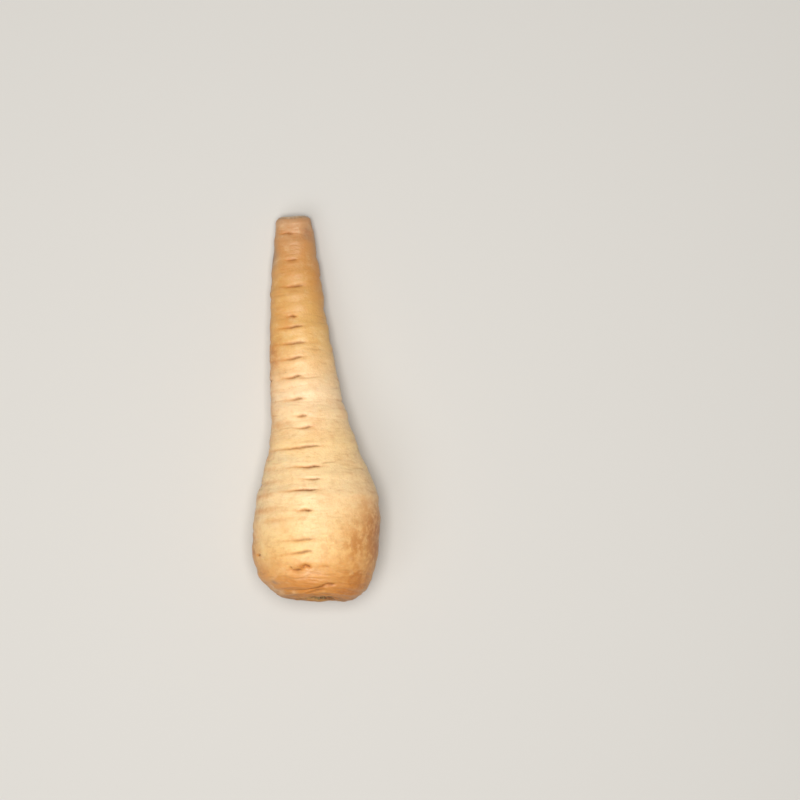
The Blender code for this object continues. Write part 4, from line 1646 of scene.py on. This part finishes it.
    def on_surface(self, arc: Array, turn: Array) -> tuple[Array, Array, Array]:
        """Points on the skin where the root lies.

        Args:
            arc: the points' arcs.
            turn: the points' turns.

        Returns:
            The points, the directions that the skin faces there, and those that run to the tip.
        """
        here = self.points_at(arc, turn)
        along = self.points_at(arc + self.probe, turn) - here
        round_it = self.points_at(arc, turn + self.probe_turn) - here
        facing = np.cross(round_it, along)
        facing /= np.linalg.norm(facing, axis=1, keepdims=True)
        return here, facing, along / np.linalg.norm(along, axis=1, keepdims=True)


STALK_APART = 7.3


@dataclass
class LeafStalks:
    """The cut-off stalks of the leaves in the hollow of the crown, and the growing point."""

    root: Root
    count: int = 11
    sunk: float = 1.6 * MM
    first_turn: float = math.radians(205)
    next_turn: float = math.radians(137.5)
    radius: tuple = (5.6 * MM, 1.1 * MM)
    wall: tuple = (1.05 * MM, 0.65 * MM)
    wall_swing: tuple = (0.5, 0.12, 3.3)
    half_arc: tuple = (math.radians(48), math.radians(92))
    arc_swing: tuple = (0.92, 0.22, 2.1)
    wobble: float = 0.2 * MM
    wobble_waves: float = 1.7
    top: tuple = (1.5 * MM, 2.8 * MM)
    top_change: float = 0.65 * MM
    top_wander: float = 2.3
    top_uneven: tuple = ((0.32 * MM, 3, 1), (0.16 * MM, 8, 2))
    edge_thinning: float = 0.8
    edge_blunting: float = 0.97
    flare: float = 1.08
    dished: float = 0.22 * MM
    dished_to: float = 0.94
    drawn_in: float = 0.03
    rim_cut: float = 0.4
    strand_from: int = 5
    strand_every: int = 6
    strand_sunk: float = 0.2 * MM
    steps: int = 44
    levels: int = 14
    insets: int = 4
    ribs: int = 11
    rib_height: float = 0.07 * MM
    bud_radius: float = 0.55 * MM
    bud_shoulder: float = 1.9 * MM
    bud_top: float = 2.6 * MM
    bud_sides: int = 40
    bud_steps: int = 7
    bud_flutes: tuple = (0.09, 5, 2)
    bud_neck: tuple = (1.08, 0.6)

    def __post_init__(self) -> None:
        """Works out how the hollow's floor stands in the root."""
        floor = Matrix.Translation((0, self.root.outline.hollow_depth, 0))
        floor = floor @ Matrix.Diagonal((1, 1, self.root.flatness, 1))
        outwards = Matrix.Rotation(-self.root.crown_skew, 4, "Z") @ Matrix.Rotation(math.pi / 2, 4, "X")
        self.standing = np.array(self.root.lying @ floor @ outwards)
        self.strands: list[Array] = []

    def share(self, number: int, ends: tuple[float, float]) -> float:
        """A size that changes evenly from the oldest stalk to the youngest."""
        return ends[0] + (ends[1] - ends[0]) * number / (self.count - 1)

    @staticmethod
    def swung(number: int, mean: float, swing: float, step: float) -> float:
        """A share that swings round its mean from stalk to stalk."""
        return mean + swing * math.sin(step * number)

    def stood(self, points: Array) -> Array:
        """Points about the hollow's floor, moved to where the root lies."""
        return points @ self.standing[:3, :3].T + self.standing[:3, 3]

    def crescent(self, number: int, first: int) -> tuple[Array, list, dict[Mark, Array]]:
        """One stalk: a ribbed crescent that clasps the younger ones, cut off with a hollowed top.

        Args:
            number: the stalk's number, from the oldest.
            first: the number of its first point.

        Returns:
            Its points about the hollow's floor, its faces and its marks.
        """
        middle = self.share(number, self.radius)
        half_arc = self.share(number, self.half_arc) * self.swung(number, *self.arc_swing)
        half_wall = self.share(number, self.wall) * self.swung(number, *self.wall_swing)
        top = self.share(number, self.top) + self.top_change * math.sin(self.top_wander * number)
        turn = self.first_turn + number * self.next_turn
        share = np.sin(np.linspace(-math.pi / 2, math.pi / 2, self.steps))
        angles = half_arc * share
        thin, blunt = 1 - self.edge_thinning * share**2, 1 - self.edge_blunting * share**12
        thick = half_wall * np.sqrt(thin) * np.sqrt(blunt)
        ribs = self.rib_height * np.cos(self.ribs * share * math.pi)
        bent = middle + self.wobble * np.sin(self.wobble_waves * math.pi * share + 2 * number)
        outer, inner = bent + thick + ribs, bent - thick
        around = np.concatenate([angles, angles[::-1]])
        side = np.concatenate([outer, inner[::-1]])
        level = np.linspace(0, 1, self.levels)
        rows, heights, cuts = [], [], []
        for at in level:
            flare = 1 + (self.flare - 1) * max(0.0, 2 * at - 1)
            waves = (tall * np.sin(count * around + step * number) for tall, count, step in self.top_uneven)
            rows.append((flare * side, around, -self.sunk + (top + self.sunk) * at + sum(waves) * at**3))
            heights.append(np.full(len(side), at))
            cuts.append(np.zeros(len(side)))
        rim = rows[-1]
        for inset in range(1, self.insets + 1):
            inwards = inset / self.insets
            radius = self.flare * middle + (rim[0] - self.flare * middle) * (1 - self.dished_to * inwards)
            dip = self.dished * math.sin(math.pi / 2 * inwards)
            rows.append((radius, around * (1 - self.drawn_in * inwards), rim[2] - dip))
            heights.append(np.ones(len(side)))
            cuts.append(np.full(len(side), self.rim_cut if inset == 1 else 1.0))
        points = np.concatenate([self.round_point(r, turn + a, h) for r, a, h in rows])
        rings = [first + n * len(side) + np.arange(len(side)) for n in range(len(rows))]
        faces = [face for pair in zip(rings, rings[1:]) for face in ring_faces(*pair)]
        faces += self.zipped(rings[-1], False) + self.zipped(rings[0], True)
        wound = np.concatenate([np.stack([a * middle / MM, h / MM, r / MM], axis=-1) for r, a, h in rows])
        marks = {
            Mark.WOUND: wound + STALK_APART * number, Mark.HEIGHT: np.concatenate(heights),
            Mark.CUT: np.concatenate(cuts), Mark.ALONG: np.full(len(points), number / (self.count - 1)),
        }
        dots = np.arange(self.strand_from, self.steps - self.strand_from + 1, self.strand_every)
        dot_height = rim[2][dots] - self.strand_sunk
        self.strands.append(self.round_point(self.flare * middle, turn + angles[dots], dot_height))
        return points, faces, marks

    @staticmethod
    def round_point(radius: Array, turn: Array, height: Array) -> Array:
        """Points about the hollow's floor, from their radii, turns and heights."""
        return np.stack([radius * np.cos(turn), radius * np.sin(turn), 0 * turn + height], axis=-1)

    def zipped(self, ring: Array, below: bool) -> list:
        """Closes a crescent's ring with faces from its outer side to its inner side.

        Args:
            ring: the ring's point numbers.
            below: whether it is the lower end.

        Returns:
            The faces.
        """
        outer, inner = ring[: self.steps], ring[self.steps:][::-1]
        faces = np.stack([outer[:-1], outer[1:], inner[1:], inner[:-1]], 1)
        return (faces[:, ::-1] if below else faces).tolist()

    def bud(self, first: int) -> tuple[Array, list, dict[Mark, Array]]:
        """The growing point in the middle of the stalks, fluted and closed to a point.

        Args:
            first: the number of its first point.

        Returns:
            Its points about the hollow's floor, its faces and its marks.
        """
        around = np.linspace(0, 2 * math.pi, self.bud_sides, endpoint=False)
        profile = [(self.bud_radius, -self.sunk), (self.bud_radius, 0.0)]
        profile.append((self.bud_neck[0] * self.bud_radius, self.bud_neck[1] * self.bud_shoulder))
        rounding = np.linspace(0, math.pi / 2, self.bud_steps, endpoint=False)
        rise = self.bud_top - self.bud_shoulder
        profile += [(self.bud_radius * math.cos(a), self.bud_shoulder + rise * math.sin(a)) for a in rounding]
        share, flutes, spin = self.bud_flutes
        rows = [(r * (1 + share * np.cos(flutes * around + spin * h / MM)), h) for r, h in profile]
        points = [self.round_point(r, around, h) for r, h in rows]
        points = np.concatenate([[(0.0, 0.0, -self.sunk)], *points, [(0.0, 0.0, self.bud_top)]])
        ring = np.arange(self.bud_sides)
        rings = [np.array([first])] + [first + 1 + n * self.bud_sides + ring for n in range(len(rows))]
        rings.append(np.array([first + len(points) - 1]))
        faces = [face for pair in zip(rings, rings[1:]) for face in ring_faces(*pair)]
        share = np.clip((points[:, 2] + self.sunk) / (self.bud_top + self.sunk), 0, 1)
        return points, faces, {
            Mark.WOUND: points / MM, Mark.HEIGHT: share, Mark.CUT: 0 * share, Mark.ALONG: 0 * share + 1,
        }

    def build(self, finish: Material) -> Piece:
        """Builds the stubs of all the stalks, and the growing point.

        Args:
            finish: their material.

        Returns:
            The stubs.
        """
        points, faces, marks = [], [], []
        for number in range(self.count + 1):
            first = sum(len(some) for some in points)
            made = self.crescent(number, first) if number < self.count else self.bud(first)
            points.append(made[0])
            faces += made[1]
            marks.append(made[2])
        obj = mesh_object("leaf_stalks", self.stood(np.concatenate(points)), faces)
        for mark in marks[0]:
            carry(obj, mark, np.concatenate([some[mark] for some in marks]))
        obj.data.materials.append(finish)
        return obj


@dataclass
class Growths:
    """The small things that stand on the root: rootlets, broken side roots and crown fibres."""

    root: Root
    stalks: LeafStalks
    tree: Tree = field(default_factory=stub_tree)
    rootlet_share: float = 0.55
    stub_share: float = 0.4
    slit_reach: tuple = (0.7, 0.35)
    sizes: tuple = (0.5, 1.2)
    sunk: float = 0.25 * MM
    fibre_count: int = 260
    fibre_ring: tuple = (4.9, 6.5)
    fibre_sunk: float = 0.5 * MM
    fibre_lean: float = 0.35
    fibre_sizes: tuple = (0.5, 1.1)
    strand_sunk: float = 0.05 * MM

    def grown(self, name: str, starts: tuple[Array, ...], values: dict) -> Piece:
        """Grows a stub from each point.

        Args:
            name: the piece's name.
            starts: where the stubs start, what each one faces, where it bends to, and its size.
            values: the tree's other inputs, by their names.

        Returns:
            The piece.
        """
        obj = mesh_object(name, starts[0], [])
        for mark, carried in zip((Mark.FACING, Mark.LYING, Mark.SIZE), starts[1:]):
            carry(obj, mark, carried)
        settled(obj, self.tree, values)
        obj.data.shade_smooth()
        self.root.press_flat(obj)
        return obj

    def in_slits(self, share: float, seed: int, spread: float) -> tuple[Array, ...]:
        """Points in some of the slits that aren't on top, chosen by seeded chance.

        Args:
            share: the share of the slits that are chosen.
            seed: the seed.
            spread: how far along a slit a point may be, as a share of its half length.

        Returns:
            The points, the directions that they face and lie in, and a size for each.
        """
        chance = np.random.default_rng(seed)
        relief, outline = self.root.relief, self.root.outline
        chosen = [slit for slit in relief.slits[len(relief.top_slits):] if chance.uniform() < share]
        arc = np.array([outline.arc_at(slit.place) for slit in chosen])
        offset = np.array([chance.uniform(-spread, spread) * slit.half for slit in chosen])
        turn = np.array([slit.turn for slit in chosen]) + offset / outline.radius_at(arc)
        points, facing, along = self.root.on_surface(arc, turn)
        side = np.cross(facing, along)
        lying = along * chance.normal(0, 0.6, (len(arc), 1)) + side * chance.normal(0, 1, (len(arc), 1))
        return points - self.sunk * facing, facing, lying, chance.uniform(*self.sizes, len(arc))

    def rootlets(self, finish: Material) -> Piece:
        """Hair-thin rootlets left in the slits.

        Args:
            finish: their material.

        Returns:
            The rootlets.
        """
        inputs = {"Length": 1.6 * MM, "Radius": 0.07 * MM, "Bend": 0.85, "Taper": 0.35, "Material": finish}
        starts = self.in_slits(self.rootlet_share, SEED + 2, self.slit_reach[0])
        return self.grown("rootlets", starts, inputs)

    def side_roots(self, finish: Material) -> Piece:
        """The broken ends of side roots, standing low in their slits.

        Args:
            finish: their material.

        Returns:
            The side roots.
        """
        inputs = {
            "Length": 0.62 * MM, "Radius": 0.3 * MM, "Bend": 0.15, "Taper": 0.6, "Sides": 9, "Steps": 4,
            "Material": finish,
        }
        starts = self.in_slits(self.stub_share, SEED + 3, self.slit_reach[1])
        return self.grown("side_root_stubs", starts, inputs)

    def fibres(self, finish: Material) -> Piece:
        """Dry fibres of older leaves round the foot of the stalks.

        Args:
            finish: their material.

        Returns:
            The fibres.
        """
        chance = np.random.default_rng(SEED + 4)
        count = self.fibre_count
        around = chance.uniform(0, 2 * math.pi, count)
        radius = chance.uniform(*self.fibre_ring, count) * MM
        low = self.stalks.round_point(radius, around, -self.fibre_sunk)
        outwards = self.stalks.round_point(1.0, around, 0.0)
        facing = np.array([0.0, 0.0, 1.0]) + self.fibre_lean * outwards + chance.normal(0, 0.2, (count, 3))
        turning = self.stalks.standing[:3, :3].T
        lying = outwards + chance.normal(0, 0.8, (count, 3))
        inputs = {"Length": 2.6 * MM, "Radius": 0.09 * MM, "Bend": 0.45, "Taper": 0.2, "Material": finish}
        sizes = chance.uniform(*self.fibre_sizes, count)
        starts = (self.stalks.stood(low), facing @ turning, lying @ turning, sizes)
        return self.grown("crown_fibres", starts, inputs)

    def strands(self, finish: Material) -> Piece:
        """The sap strands that show as dots on the cut tops of the stalks.

        Args:
            finish: their material.

        Returns:
            The strands.
        """
        points = self.stalks.stood(np.concatenate(self.stalks.strands))
        up = self.stalks.standing[:3, 2] / np.linalg.norm(self.stalks.standing[:3, 2])
        facing = np.tile(up, (len(points), 1))
        lying = np.tile(self.stalks.standing[:3, 0], (len(points), 1))
        inputs = {
            "Length": 0.14 * MM, "Radius": 0.1 * MM, "Bend": 0.0, "Taper": 0.6, "Sides": 8, "Steps": 3,
            "Material": finish,
        }
        starts = (points - self.strand_sunk * up, facing, lying, np.ones(len(points)))
        return self.grown("sap_strands", starts, inputs)


@dataclass
class Crumbs:
    """Crumbs of earth left in the hollow of the crown."""

    density: float = 1.2e6
    radius: float = 0.13 * MM
    threshold: float = 0.9

    def build(self, skin: Piece, finish: Material) -> Piece:
        """Scatters the crumbs.

        Args:
            skin: the skin that they lie on.
            finish: their material.

        Returns:
            The crumbs.
        """
        obj = bpy.data.objects.new("earth_crumbs", skin.data.copy())
        bpy.context.scene.collection.objects.link(obj)
        inputs = {"Threshold": self.threshold, "Density": self.density, "Radius": self.radius}
        settled(obj, crumb_tree(), {**inputs, "Material": finish})
        return obj


@dataclass(frozen=True)
class Lamp:
    """A soft square lamp that points at the middle of the scene."""

    name: str
    place: tuple
    size: float
    power: float
    colour: tuple

    def build(self) -> None:
        """Adds the lamp."""
        light = bpy.data.lights.new(self.name, "AREA")
        light.shape = "SQUARE"
        light.size = self.size
        light.energy = self.power
        light.color = self.colour
        obj = bpy.data.objects.new(self.name, light)
        obj.location = self.place
        obj.rotation_mode = "QUATERNION"
        obj.rotation_quaternion = Vector(self.place).to_track_quat("Z", "Y")
        obj.visible_camera = False
        bpy.context.scene.collection.objects.link(obj)


@dataclass
class Studio:
    """A plain pale floor, soft light, and the camera that looks down on the root."""

    floor_half: float = 6.0
    floor_colour: Colour = paint(206, 204, 200)
    floor_roughness: float = 0.85
    world_colour: tuple = (1.0, 0.985, 0.96)
    world_strength: float = 0.10
    lamps: tuple = (
        Lamp("key", (0.01, 0.00, 1.05), 0.42, 9.9, (1.0, 0.98, 0.95)),
        Lamp("fill", (-0.32, -0.36, 0.85), 0.60, 2.8, (1.0, 0.99, 0.97)),
    )
    camera_place: tuple = (0.03213, 0.00059, 0.95)
    camera_roll: float = math.radians(-3.6)
    camera_focal: float = 2657.1
    picture_side: int = 800
    sensor: float = 36.0

    def build(self) -> None:
        """Builds the floor, the lamps and the camera."""
        half = self.floor_half
        corners = np.array([(-half, -half, 0), (half, -half, 0), (half, half, 0), (-half, half, 0)])
        floor = mesh_object("floor", corners, [(0, 1, 2, 3)])
        material, kit, shader = new_material("pale floor", self.floor_colour)
        kit.fill(shader, {"Base Color": self.floor_colour, "Roughness": self.floor_roughness})
        floor.data.materials.append(material)
        world = bpy.data.worlds.new("soft light")
        world.use_nodes = True
        background = world.node_tree.nodes["Background"]
        background.inputs["Color"].default_value = (*self.world_colour, 1.0)
        background.inputs["Strength"].default_value = self.world_strength
        bpy.context.scene.world = world
        for lamp in self.lamps:
            lamp.build()
        camera = bpy.data.cameras.new("camera")
        camera.sensor_width = self.sensor
        camera.lens = self.camera_focal * self.sensor / self.picture_side
        camera.clip_start = 0.01
        obj = bpy.data.objects.new("camera", camera)
        obj.location = self.camera_place
        obj.rotation_euler = (0, 0, self.camera_roll)
        bpy.context.scene.collection.objects.link(obj)
        bpy.context.scene.camera = obj
        bpy.context.scene.view_settings.view_transform = "Standard"


def main() -> None:
    """Builds the parsnip's looks and the studio, and reports each piece."""
    logging.basicConfig(level=logging.INFO, format="%(name)s: %(message)s")
    effects = Effects.built()
    outline = Outline()
    root = Root(outline, Relief(outline))
    skin = root.build(SkinFinish(effects).material(), FleshFinish(effects).material())
    stalks = LeafStalks(root)
    stubs = stalks.build(StalkFinish(effects).material())
    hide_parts(NODE)
    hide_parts(NODE)
    growths = Growths(root, stalks)
    dry_root = DRY_ROOT.material()
    dry_leaf = DRY_LEAF.material()
    pieces = [
        skin,
        stubs,
        growths.rootlets(dry_root),
        growths.side_roots(dry_root),
        growths.fibres(dry_leaf),
        growths.strands(SAP.material()),
        Crumbs().build(skin, DRY_EARTH.material()),
    ]
    for piece in pieces:
        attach(piece, BODY)
        triangles = sum(len(face.vertices) - 2 for face in piece.data.polygons)
        LOG.info("%s: %d triangles", piece.name, triangles)
    Studio().build()


if __name__ == "__main__":
    main()
